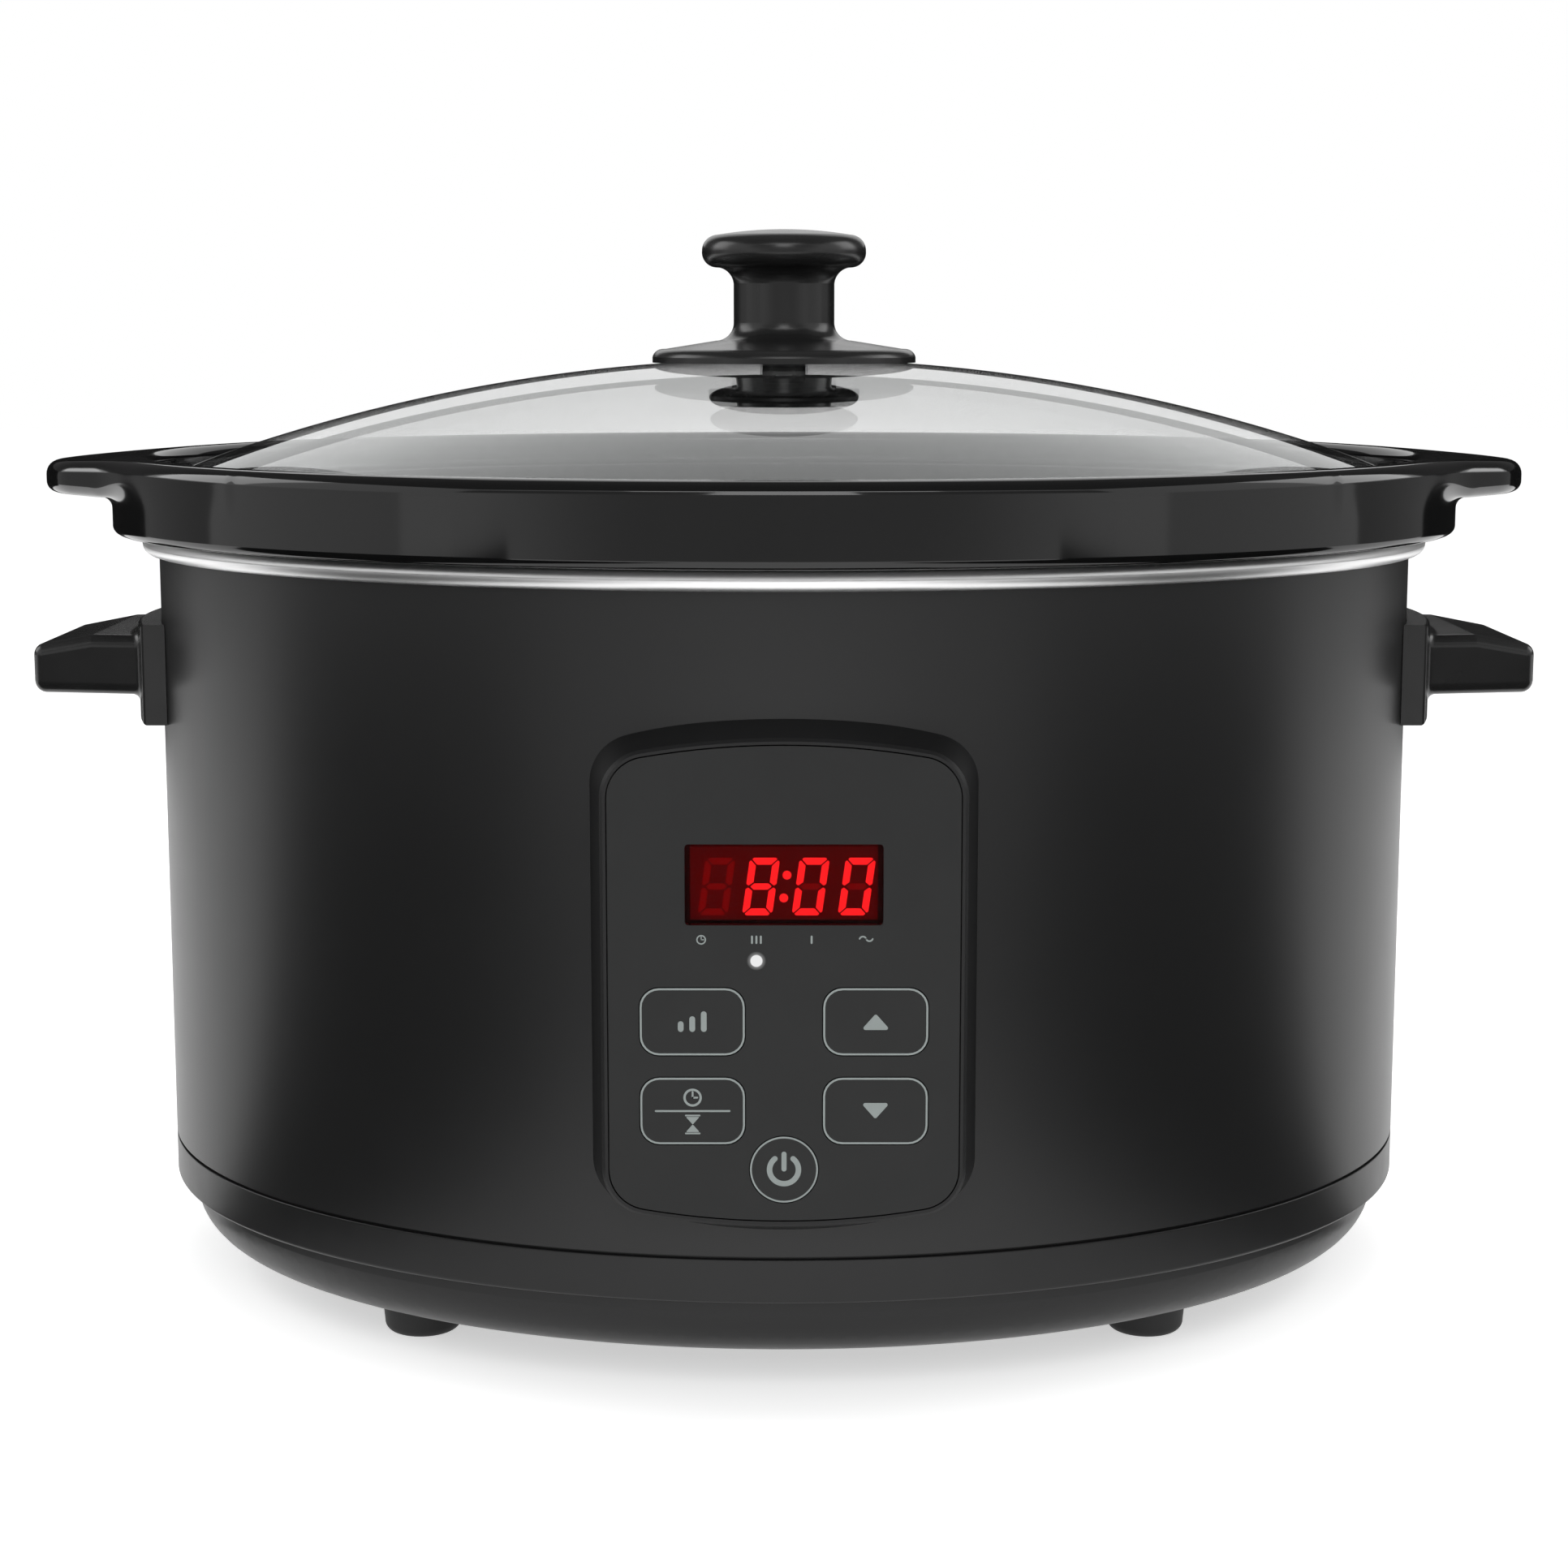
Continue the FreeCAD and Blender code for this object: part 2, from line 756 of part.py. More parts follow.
def panel_frame():
    back = panel_wire(panel_half_width + frame_back_grow, panel_half_height + frame_back_rise,
                      frame_back_corner, frame_back_arch, behind(frame_depth),
                      panel_middle_z + frame_back_lift)
    brow = panel_outline(0, behind(panel_edge))
    face = panel_outline(-panel_edge, panel_y)
    body = Part.makeLoft([back, brow, face], True, True)
    body = body.cut(oval_prism(frame_fit, 0, crock_top_z))
    body = body.cut(panel_prism(-frame_land, -spare, plate_thickness))
    body = body.cut(panel_prism(frame_opening(), 0, frame_depth + spare))
    half = corner_block / 2
    for place in corner_places(half):
        post = block(place.x - half, place.x + half, behind(plate_thickness), behind(board_depth),
                     place.z - half, place.z + half)
        body = body.fuse(post.common(panel_prism(frame_opening() + opening_margin / 2, 0, frame_depth)))
    body = body.removeSplitter()
    for place in corner_places(panel_screw_inset):
        start = V(place.x, behind(plate_thickness), place.z)
        body = body.cut(rod(panel_screw_radius + screw_clearance, start, Y_AXIS, frame_depth))
    return body


def key_list():
    """Each key's name, middle and half sizes; the power key is round."""
    upper = panel_middle_z + upper_row_up
    lower = panel_middle_z + lower_row_up
    return {
        "mode_key": (-key_aside, upper, key_half_width, key_half_height),
        "up_key": (key_aside, upper, key_half_width, key_half_height),
        "timer_key": (-key_aside, lower, key_half_width, key_half_height),
        "down_key": (key_aside, lower, key_half_width, key_half_height),
        "power_key": (0.0, panel_middle_z + power_key_up, power_key_radius, None),
    }


def pad(x, z, half_width, half_height, corner, front, back):
    """Rounded block that stands behind the panel's face from one depth to another."""
    solid = block(x - half_width, x + half_width, behind(front), behind(back), z - half_height,
                  z + half_height)
    upright = [e for e in solid.Edges if e.BoundBox.XLength < touch and e.BoundBox.ZLength < touch]
    return solid.makeFillet(corner, upright)


def key_pad(key, grow, front, back):
    x, z, half_width, half_height = key
    if half_height is None:
        return rod(half_width + grow, V(x, behind(front), z), Y_AXIS, back - front)
    return pad(x, z, half_width + grow, half_height + grow, key_corner + grow, front, back)


def key(place):
    flange_front = plate_thickness + key_flange_gap
    flange_back = flange_front + key_flange
    cap = key_pad(place, 0, 0, flange_front)
    cap = cap.fuse(key_pad(place, key_flange_reach, flange_front, flange_back))
    stem_end = board_depth - switch_body - switch_plunger - key_travel - key_stop_gap
    stem = rod(key_stem_radius, V(place[0], behind(flange_back), place[1]), Y_AXIS, stem_end - flange_back)
    return cap.fuse(stem).removeSplitter()


def lamp_places():
    return [(i * lamp_pitch, panel_middle_z + lamp_up) for i in (-1.5, -0.5, 0.5, 1.5)]


def panel_plate():
    plate = panel_prism(-(frame_land + plate_gap), 0, plate_thickness)
    cuts = [key_pad(place, key_gap, -spare, plate_thickness + spare) for place in key_list().values()]
    cuts.append(pad(0, panel_middle_z + window_up, window_half_width + window_fit,
                    window_half_height + window_fit, window_corner, -spare, plate_thickness + spare))
    for x, z in lamp_places():
        cuts.append(rod(lamp_radius + lamp_fit, V(x, behind(lamp_skin), z), Y_AXIS, plate_thickness))
    return plate.cut(cuts)


def display_window():
    return pad(0, panel_middle_z + window_up, window_half_width, window_half_height, window_corner,
               window_recess,
               plate_thickness)


def led_display():
    return block(-display_half_width, display_half_width, behind(plate_thickness + display_gap),
                 behind(board_depth), panel_middle_z + window_up - display_half_height,
                 panel_middle_z + window_up + display_half_height)


def indicator_lamps():
    return Part.makeCompound([rod(lamp_radius, V(x, behind(lamp_skin + lamp_fit), z), Y_AXIS,
                                  board_depth - lamp_skin - lamp_fit) for x, z in lamp_places()])


def control_board():
    board = panel_prism(frame_opening() - board_margin, board_depth, board_depth + board_thickness)
    for place in corner_places(panel_screw_inset):
        board = board.cut(rod(panel_screw_radius + screw_clearance, V(place.x, panel_y, place.z), Y_AXIS,
                              2 * frame_depth))
    return board


def tact_switches():
    switches = []
    front = board_depth - switch_body
    for x, z, _, _ in key_list().values():
        body = block(x - switch_half_width, x + switch_half_width, behind(front), behind(board_depth),
                     z - switch_half_width, z + switch_half_width)
        plunger = rod(switch_plunger_radius, V(x, behind(front - switch_plunger), z), Y_AXIS,
                      switch_plunger)
        switches.append(body.fuse(plunger).removeSplitter())
    return Part.makeCompound(switches)


def tray_depth():
    return board_depth + board_thickness + tray_gap


def panel_tray():
    tray = panel_prism(panel_opening() + tray_rim, 0, tray_depth() + tray_floor)
    tray = tray.common(oval_prism(-shell_wall - tray_fit, shell_z, shell_top_z))
    tray = tray.cut(panel_prism(panel_opening(), -spare, tray_depth()))
    board_back = board_depth + board_thickness
    for place in corner_places(panel_screw_inset):
        tray = tray.fuse(rod(tray_boss_radius, V(place.x, behind(board_back), place.z), Y_AXIS,
                             tray_gap + tray_floor))
    for place in corner_places(panel_screw_inset):
        tray = tray.cut(rod(panel_screw_radius + screw_clearance, V(place.x, panel_y, place.z), Y_AXIS,
                            2 * frame_depth))
    slot_half = ribbon_thickness / 2 + ribbon_slot
    slot = block(ribbon_aside - ribbon_half_width - ribbon_slot,
                 ribbon_aside + ribbon_half_width + ribbon_slot,
                 behind(board_depth + board_thickness), behind(frame_depth), ribbon_z() - slot_half,
                 ribbon_z() + slot_half)
    return tray.cut(slot).removeSplitter()


def panel_screws():
    screws = []
    seat = tray_depth() + tray_floor
    for place in corner_places(panel_screw_inset):
        head = rod(panel_screw_head_radius, V(place.x, behind(seat), place.z), Y_AXIS, panel_screw_head)
        shank = rod(panel_screw_radius, V(place.x, behind(seat - panel_screw_length), place.z), Y_AXIS,
                    panel_screw_length)
        screws.append(head.fuse(shank).removeSplitter())
    return Part.makeCompound(screws)


# Power electronics and wiring


def power_board_z():
    return cover_floor_z + power_boss_height


def power_board():
    low = power_board_z()
    board = block(-power_board_half_width, power_board_half_width, power_board_y - power_board_half_depth,
                  power_board_y + power_board_half_depth, low, low + board_thickness)
    for place in power_boss_places():
        board = board.cut(rod(power_screw_radius + screw_clearance, place, Z_AXIS, low + spare))
    return board


def on_board(size, place):
    wide, deep, tall = size
    low = power_board_z() + board_thickness
    x = place[0]
    y = power_board_y + place[1]
    return block(x - wide / 2, x + wide / 2, y - deep / 2, y + deep / 2, low, low + tall)


def power_board_screws():
    screws = []
    seat = power_board_z() + board_thickness
    for place in power_boss_places():
        head = rod(power_screw_head_radius, V(place.x, place.y, seat), Z_AXIS, power_screw_head)
        shank = rod(power_screw_radius, V(place.x, place.y, seat - power_screw_length), Z_AXIS,
                    power_screw_length)
        screws.append(head.fuse(shank).removeSplitter())
    return Part.makeCompound(screws)


def swept(points, section, bend):
    """Section carried along straight runs joined by tangent arcs of one bend radius."""
    edges = []
    start = points[0]
    for before, corner, after in zip(points, points[1:], points[2:]):
        into = (corner - before).normalize()
        out = (after - corner).normalize()
        a = corner - into * bend
        b = corner + out * bend
        centre = a + out * bend
        edges.append(line(start, a))
        edges.append(arc(a, centre + (corner - centre).normalize() * bend, b))
        start = b
    edges.append(line(start, points[-1]))
    return Part.Wire(edges).makePipeShell([section], True, False)


def wiring_route(side, start_y, wall_y, top):
    """Heights and depths of a lead: along the cover, up inside the ring, out to the wall and up it."""
    low = power_board_z() + board_thickness + ribbon_thickness / 2
    inside_y = side * (body_half_depth - cover_inset - 2 * cover_wall - 2 * lip_fit - wiring_inset)
    over_z = shell_z + spigot_height - wiring_drop
    return [V(0, start_y, low), V(0, inside_y, low), V(0, inside_y, over_z), V(0, wall_y, over_z),
            V(0, wall_y, top)]


def ribbon_z():
    """Height at which the ribbon passes through the tray to the control board."""
    return panel_middle_z + ribbon_up


def panel_ribbon():
    wall_y = behind(tray_depth() + tray_floor) + ribbon_gap + ribbon_thickness / 2
    start_y = power_board_y - power_board_half_depth + ribbon_overlap
    points = wiring_route(-1, start_y, wall_y, ribbon_z())
    points.append(V(0, behind(board_depth + board_thickness), ribbon_z()))
    half = ribbon_thickness / 2
    corners = [V(x, start_y, points[0].z + z) for x, z in
               ((-ribbon_half_width, -half), (ribbon_half_width, -half), (ribbon_half_width, half),
                (-ribbon_half_width, half), (-ribbon_half_width, -half))]
    strip = swept(points, Part.makePolygon(corners), ribbon_bend)
    strip.translate(V(ribbon_aside, 0, 0))
    return strip


def heater_leads():
    leads = []
    start_y = power_board_y + power_board_half_depth - ribbon_overlap
    wall_y = oval_y(-liner_inset + heater_fit + heater_wall, 0) + lead_radius + heater_fit
    top = heater_middle_z - heater_height / 2 + lead_overlap
    points = wiring_route(1, start_y, wall_y, top)
    points[0].z += lead_radius
    points[1].z += lead_radius
    for side in (-1, 1):
        section = Part.Wire([Part.Circle(points[0], Y_AXIS, lead_radius).toShape()])
        lead = swept(points, section, lead_bend)
        lead.translate(V(side * (heater_opening / 2 + lead_aside), 0, 0))
        leads.append(lead)
    return Part.makeCompound(leads)


# Cord gland


def cord_gland():
    inner_y = body_half_depth - liner_inset + gland_liner_gap
    shank = rod(gland_shank_radius, V(0, inner_y, gland_z), Y_AXIS, body_half_depth - inner_y)
    flange = rod(gland_flange_radius, V(0, body_half_depth - spare, gland_z), Y_AXIS, spare + gland_flange)
    flange = flange.cut(oval_prism(gland_fit, 0, crock_top_z))
    whole = shank.fuse(flange).removeSplitter()
    return whole.cut(rod(gland_bore_radius, V(0, inner_y - spare, gland_z), Y_AXIS, 3 * body_half_depth))


def gland_nut_ring():
    ring = rod(gland_nut_radius, V(0, body_half_depth - shell_wall - gland_nut, gland_z), Y_AXIS, gland_nut)
    ring = ring.common(oval_prism(-shell_wall - gland_fit, 0, crock_top_z))
    return ring.cut(rod(gland_shank_radius + gland_fit, V(0, 0, gland_z), Y_AXIS, 2 * body_half_depth))


# Crock


def lug_plan(side):
    """Edges of a lug seen from above: a wide round nose and two flanks that run into the collar."""
    tip = body_half_width + collar_reach + lug_reach
    middle = tip - lug_nose_radius
    root_offset = collar_reach - lug_root_inset
    root_turn = math.radians(lug_root_angle)
    root = V((body_half_width + root_offset) * math.cos(root_turn),
             (body_half_depth + root_offset) * math.sin(root_turn), 0)
    reach = math.hypot(root.x - middle, root.y)
    turn = math.atan2(root.y, root.x - middle) - math.acos(lug_nose_radius / reach)
    join = V(middle + lug_nose_radius * math.cos(turn), lug_nose_radius * math.sin(turn), 0)
    points = [root, join, V(tip, 0, 0)]
    a, b, c = [V(side * p.x, p.y, 0) for p in points]
    low_a, low_b = V(a.x, -a.y, 0), V(b.x, -b.y, 0)
    return [line(low_a, low_b), arc(low_b, c, b), line(b, a), line(a, low_a)]


def on_collar(edge):
    box = edge.BoundBox
    if box.XLength > touch or box.YLength > touch:
        return False
    x, y = box.Center.x, box.Center.y
    ring = (x / (body_half_width + collar_reach)) ** 2 + (y / (body_half_depth + collar_reach)) ** 2
    lug_half_length = max(e.BoundBox.YMax for e in lug_plan(1))
    return abs(ring - 1) < touch and abs(y) < lug_half_length


def collar_and_lugs():
    low = crock_top_z - lug_thickness
    upper = oval_prism(collar_reach, low, crock_top_z)
    for side in (-1, 1):
        lug = prism(lug_plan(side), V(0, 0, lug_thickness))
        lug.translate(V(0, 0, low))
        upper = upper.fuse(lug)
    upper = upper.removeSplitter()
    upper = upper.makeFillet(lug_blend, [e for e in upper.Edges if on_collar(e)])
    upper = round_level(upper, crock_top_z, collar_top_round)
    upper = round_level(upper, low, lug_low_round)
    collar = oval_prism(collar_reach, collar_z, crock_top_z - collar_top_round)
    collar = round_level(collar, collar_z, collar_low_round)
    return upper.fuse(collar).removeSplitter()


def crock():
    outer_top = -(liner_inset + liner_wall + crock_gap)
    pot_z = liner_floor_z + liner_wall + crock_lift
    floor_z = pot_z + crock_floor
    inner_top = outer_top - crock_wall
    shoulder_z = ledge_z - shoulder_height
    pot = oval_stack([(outer_top - crock_draft, pot_z), (outer_top, collar_z + collar_low_round)])
    pot = round_level(pot, pot_z, crock_corner)
    shape = collar_and_lugs().fuse(pot).removeSplitter()
    inside = oval_stack([(inner_top - crock_draft, floor_z), (inner_top, shoulder_z),
                         (lid_ledge_in, ledge_z)])
    inside = round_level(inside, floor_z, crock_corner)
    shape = shape.cut(inside)
    shape = shape.cut(oval_prism(lid_ledge_out, ledge_z, crock_top_z + spare))
    inner_x = body_half_width + lid_ledge_out
    inner_edge = [e for e in edges_at_height(shape, crock_top_z)
                  if abs(max(e.BoundBox.XMax, -e.BoundBox.XMin) - inner_x) < seat_tolerance]
    return shape.makeFillet(collar_inner_round, inner_edge)


# Lid


def lid_edge_z():
    """Height of the glass's upper edge where it lies on the crock's ledge."""
    return ledge_z + lid_gap + glass_thickness


def glass_top_z():
    return lid_edge_z() + glass_rise


def dome(top, thickness):
    """Domed oval with a round-section edge; a big thickness makes a filled dome."""
    half = body_half_width + lid_offset
    radius = (half ** 2 + glass_rise ** 2) / (2 * glass_rise)

    def sag(x):
        return radius - math.sqrt(radius ** 2 - x ** 2)

    def on_arc(x, low):
        return V(x, 0, top - low - sag(x))

    profile = [
        arc(on_arc(0, 0), on_arc(half / 2, 0), on_arc(half, 0)),
        line(on_arc(half, 0), on_arc(half, thickness)),
        arc(on_arc(half, thickness), on_arc(half / 2, thickness), on_arc(0, thickness)),
        line(on_arc(0, thickness), on_arc(0, 0)),
    ]
    solid = Part.Face(Part.Wire(profile)).revolve(V(0, 0, 0), Z_AXIS, 360)
    rim = [e for e in solid.Edges if abs(e.BoundBox.XMax - half) < seat_tolerance
           and e.BoundBox.ZLength < touch]
    solid = solid.makeFillet(glass_round, rim)
    oval = FreeCAD.Matrix()
    oval.scale(1, (body_half_depth + lid_offset) / half, 1)
    return solid.transformGeometry(oval)


def lid_glass():
    glass = dome(glass_top_z(), glass_thickness)
    return glass.cut(rod(glass_hole_radius, V(0, 0, 0), Z_AXIS, 2 * glass_top_z()))


def knob_low_z():
    """Height of the knob's skirt edge, just clear of the falling glass under it."""
    half = body_half_width + lid_offset
    radius = (half ** 2 + glass_rise ** 2) / (2 * glass_rise)
    return glass_top_z() - (radius - math.sqrt(radius ** 2 - knob_skirt_radius ** 2)) + knob_gap


def knob_roof_z():
    """Height of the skirt's flat underside, which the gasket is squeezed against."""
    return knob_low_z() + knob_skirt_wall


def knob():
    low = knob_low_z()
    top = low + knob_height
    roof = knob_roof_z()
    shaft_low = glass_top_z() - glass_thickness
    edge_z = low + knob_skirt_edge
    slope_z = edge_z + knob_skirt_slope
    crown_z = slope_z + knob_skirt_crown
    head_low = top - knob_head_height
    head_mid = (head_low + top - knob_head_crown) / 2
    neck_z = head_low - knob_neck
    flare = knob_stem_flare
    root_r = knob_stem_radius + flare
    slope_r = knob_skirt_radius - knob_skirt_round
    rim_r = knob_head_radius - knob_head_round
    under_r = knob_head_radius - knob_head_under
    low_r = knob_skirt_radius - knob_skirt_edge
    bite = shaft_low + knob_screw_bite + knob_hole_end
    hole = knob_screw_radius + screw_clearance

    def p(r, z):
        return V(r, 0, z)

    def quarter(a, b, bulge_r, bulge_z):
        """Round corner from a to b, pulled towards the corner point."""
        near = V(bulge_r, 0, bulge_z)
        middle = (a + b) * 0.5
        return arc(a, middle + (near - middle) * 0.41, b)

    crown = p(rim_r, top - knob_head_crown)
    profile = [
        arc(p(0, top), p(rim_r / 2, top - knob_head_crown / 4), crown),
        quarter(crown, p(knob_head_radius, head_mid), knob_head_radius, top - knob_head_crown),
        quarter(p(knob_head_radius, head_mid), p(under_r, head_low), knob_head_radius, head_low),
        quarter(p(under_r, head_low), p(knob_stem_radius, neck_z), knob_stem_radius, head_low),
        line(p(knob_stem_radius, neck_z), p(knob_stem_radius, crown_z + flare)),
        quarter(p(knob_stem_radius, crown_z + flare), p(root_r, crown_z), knob_stem_radius, crown_z),
        line(p(root_r, crown_z), p(slope_r, slope_z)),
        quarter(p(slope_r, slope_z), p(knob_skirt_radius, edge_z), knob_skirt_radius, slope_z),
        line(p(knob_skirt_radius, edge_z), p(knob_skirt_radius, low)),
        line(p(knob_skirt_radius, low), p(low_r, low)),
        line(p(low_r, low), p(low_r, roof)),
        line(p(low_r, roof), p(knob_shaft_radius, roof)),
        line(p(knob_shaft_radius, roof), p(knob_shaft_radius, shaft_low)),
        line(p(knob_shaft_radius, shaft_low), p(hole, shaft_low)),
        line(p(hole, shaft_low), p(hole, bite)),
        line(p(hole, bite), p(0, bite)),
        line(p(0, bite), p(0, top)),
    ]
    return Part.Face(Part.Wire(profile)).revolve(V(0, 0, 0), Z_AXIS, 360)


def knob_gasket():
    low = glass_top_z() - spare
    ring = rod(gasket_radius, V(0, 0, low), Z_AXIS, knob_roof_z() - low)
    ring = ring.cut(rod(glass_hole_radius, V(0, 0, 0), Z_AXIS, 2 * glass_top_z()))
    return ring.cut(dome(glass_top_z() + gasket_fit, glass_thickness + spare))


def retainer_top_z():
    return glass_top_z() - glass_thickness - retainer_gap


def knob_retainer():
    top = retainer_top_z()
    neck_low = top - retainer_neck
    low = neck_low - retainer_disc
    disc = rod(retainer_radius, V(0, 0, low), Z_AXIS, retainer_disc)
    disc = round_level(disc, low, retainer_round)
    shape = disc.fuse(rod(retainer_neck_radius, V(0, 0, neck_low), Z_AXIS, retainer_neck)).removeSplitter()
    shape = shape.cut(rod(knob_screw_radius + screw_clearance, V(0, 0, low - spare), Z_AXIS, top))
    return shape.cut(rod(knob_screw_head_radius + screw_clearance, V(0, 0, low - spare), Z_AXIS,
                         spare + knob_screw_head + knob_screw_sink))


def knob_screw():
    seat = retainer_top_z() - retainer_neck - retainer_disc + knob_screw_head + knob_screw_sink
    end = glass_top_z() - glass_thickness + knob_screw_bite
    head = rod(knob_screw_head_radius, V(0, 0, seat - knob_screw_head), Z_AXIS, knob_screw_head)
    return head.fuse(rod(knob_screw_radius, V(0, 0, seat), Z_AXIS, end - seat)).removeSplitter()


def pieces():
    yield "outer_shell", outer_shell()
    yield "heating_liner", heating_liner()
    yield "heater_band", heater_band()
    yield "band_clamp", band_clamp()
    yield "base_ring", base_ring()
    yield "bottom_cover", bottom_cover()
    for name, place in foot_places().items():
        yield name, foot(place)
    yield "foot_screws", foot_screws()
    yield "tie_stud", tie_stud()
    yield "tie_nut", nut(cover_z + nut_recess_depth - washer_thickness - nut_height)
    yield "tie_washer", tie_washer()
    yield "bottom_heat_shield", bottom_heat_shield()
    yield "shield_nut", nut(shield_z - nut_height)
    yield "temperature_sensor", probe(1, sensor_radius)
    yield "sensor_strap", probe_strap(1, sensor_radius)
    yield "thermal_fuse", probe(-1, fuse_radius)
    yield "fuse_strap", probe_strap(-1, fuse_radius)
    yield "left_handle", handle(-1)
    yield "right_handle", handle(1)
    yield "handle_screws", handle_screws()
    yield "handle_washers", handle_washers()
    yield "panel_frame", panel_frame()
    yield "panel_plate", panel_plate()
    yield "display_window", display_window()
    yield "led_display", led_display()
    yield "indicator_lamps", indicator_lamps()
    yield "control_board", control_board()
    yield "tact_switches", tact_switches()
    yield "panel_tray", panel_tray()
    yield "panel_screws", panel_screws()
    for name, place in key_list().items():
        yield name, key(place)
    yield "power_board", power_board()
    yield "power_relay", on_board(relay_size, relay_place)
    yield "supply_module", on_board(supply_size, supply_place)
    yield "filter_capacitor", on_board(capacitor_size, capacitor_place)
    yield "terminal_block", on_board(terminal_size, terminal_place)
    yield "power_board_screws", power_board_screws()
    yield "panel_ribbon", panel_ribbon()
    yield "heater_leads", heater_leads()
    yield "cord_gland", cord_gland()
    yield "gland_nut", gland_nut_ring()
    yield "crock", crock()
    yield "lid_glass", lid_glass()
    yield "knob", knob()
    yield "knob_gasket", knob_gasket()
    yield "knob_retainer", knob_retainer()
    yield "knob_screw", knob_screw()


os.makedirs("parts", exist_ok=True)
for name, shape in pieces():
    shape.exportStep(f"parts/{name}.step")
    box = shape.BoundBox
    print(f"{name:20s} {len(shape.Solids)} solid, {shape.Volume / 1000:9.2f} cm3, valid {shape.isValid()}, "
          f"z {box.ZMin:6.1f} to {box.ZMax:6.1f}")
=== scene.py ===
# %% [markdown]
# # Dressing an oval slow cooker
#
# The solids of this cooker were drawn in CAD, so every wall, key and screw already has its
# real size. What is left for Blender is how it looks: paint, glaze, glass, lit digits and the
# grey print on the keys. We load the solids as a fixed frame and add finishes and thin pieces
# to them. Nothing is scaled or moved, so the picture and the solids stay one object.

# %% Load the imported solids
import json
import math

import bmesh
import bpy
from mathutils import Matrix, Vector

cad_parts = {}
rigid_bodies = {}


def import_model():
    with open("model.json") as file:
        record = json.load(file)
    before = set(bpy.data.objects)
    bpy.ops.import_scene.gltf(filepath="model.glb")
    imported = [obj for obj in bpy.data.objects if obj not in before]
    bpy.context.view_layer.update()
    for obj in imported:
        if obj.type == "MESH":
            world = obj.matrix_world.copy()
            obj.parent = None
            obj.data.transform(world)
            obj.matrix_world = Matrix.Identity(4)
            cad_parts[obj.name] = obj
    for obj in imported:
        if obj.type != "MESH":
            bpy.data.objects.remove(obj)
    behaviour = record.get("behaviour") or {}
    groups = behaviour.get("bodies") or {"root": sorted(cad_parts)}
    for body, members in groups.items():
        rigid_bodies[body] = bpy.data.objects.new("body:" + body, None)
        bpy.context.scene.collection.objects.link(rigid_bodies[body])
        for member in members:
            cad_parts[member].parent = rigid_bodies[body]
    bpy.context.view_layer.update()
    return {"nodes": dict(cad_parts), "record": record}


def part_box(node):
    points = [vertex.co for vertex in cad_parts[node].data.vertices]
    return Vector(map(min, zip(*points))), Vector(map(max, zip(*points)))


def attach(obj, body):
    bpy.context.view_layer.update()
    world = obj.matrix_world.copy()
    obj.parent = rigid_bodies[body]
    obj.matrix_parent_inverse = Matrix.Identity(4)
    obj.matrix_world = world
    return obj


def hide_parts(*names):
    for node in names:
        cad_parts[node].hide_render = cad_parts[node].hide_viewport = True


for leftover in list(bpy.data.objects):
    bpy.data.objects.remove(leftover)
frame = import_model()
record = frame["record"]

# %% [markdown]
# ## The camera
#
# The photograph looks at the panel from a little above, through a lens long enough to keep the
# oval rim shallow. A lens is easiest to match by its field of view: the knob, the lugs and the
# feet must all land where the photograph has them. Height, tilt and focal length were fitted
# together on the ovals of the rim and the base, because each oval's flatness gives the height
# of the eye above it.

# %% Place the camera
eye_distance = 0.77418
eye_height = 0.24111
eye_tilt = math.radians(81.25)
lens = bpy.data.cameras.new("photograph_lens")
lens.sensor_width = 36.0
lens.lens = 69.06
lens.clip_start = 0.01
camera = bpy.data.objects.new("photograph_camera", lens)
camera.location = (0.0, -eye_distance, eye_height)
camera.rotation_euler = (eye_tilt, 0.0, 0.0)
bpy.context.collection.objects.link(camera)
bpy.context.scene.camera = camera
bpy.context.scene.view_settings.view_transform = "Standard"
print("camera at", tuple(camera.location), "lens", lens.lens, "mm")

# %% [markdown]
# ## A white studio
#
# Black objects are drawn by what they reflect. In a white room a satin wall turns pale where it
# curves away from us, and that is what gives the oval its roundness. The world and the floor
# show plain white to the camera and to reflections, while a weaker white lights the object, so
# the paint keeps the darkness it was given.

# %% Helpers for materials
def add_node(tree, kind, **settings):
    """Adds a node and sets its own properties."""
    node = tree.nodes.new(kind)
    for name, value in settings.items():
        setattr(node, name, value)
    return node


def fill(node, values):
    """Sets a node's inputs by name or number."""
    for socket, value in values.items():
        node.inputs[socket].default_value = value


def give_place(tree, socket):
    """Feeds an input with the place on the piece, in the piece's own coordinates."""
    place = add_node(tree, "ShaderNodeTexCoord")
    tree.links.new(place.outputs["Object"], socket)


def new_finish(name, roughness, metallic=0.0, specular=0.5):
    """A material with one Principled shader and the values that are the same all over."""
    finish = bpy.data.materials.new(name)
    finish.use_nodes = True
    shader = finish.node_tree.nodes["Principled BSDF"]
    fill(shader, {"Roughness": roughness, "Metallic": metallic, "Specular IOR Level": specular})
    return finish, finish.node_tree, shader


def seen_directly(tree):
    """1 for rays from the camera, a mirror or through glass, and 0 for rays that only light."""
    path = add_node(tree, "ShaderNodeLightPath")
    seen = path.outputs["Is Camera Ray"]
    for other in ("Is Glossy Ray", "Is Transmission Ray"):
        larger = add_node(tree, "ShaderNodeMath", operation="MAXIMUM")
        tree.links.new(seen, larger.inputs[0])
        tree.links.new(path.outputs[other], larger.inputs[1])
        seen = larger.outputs[0]
    return seen


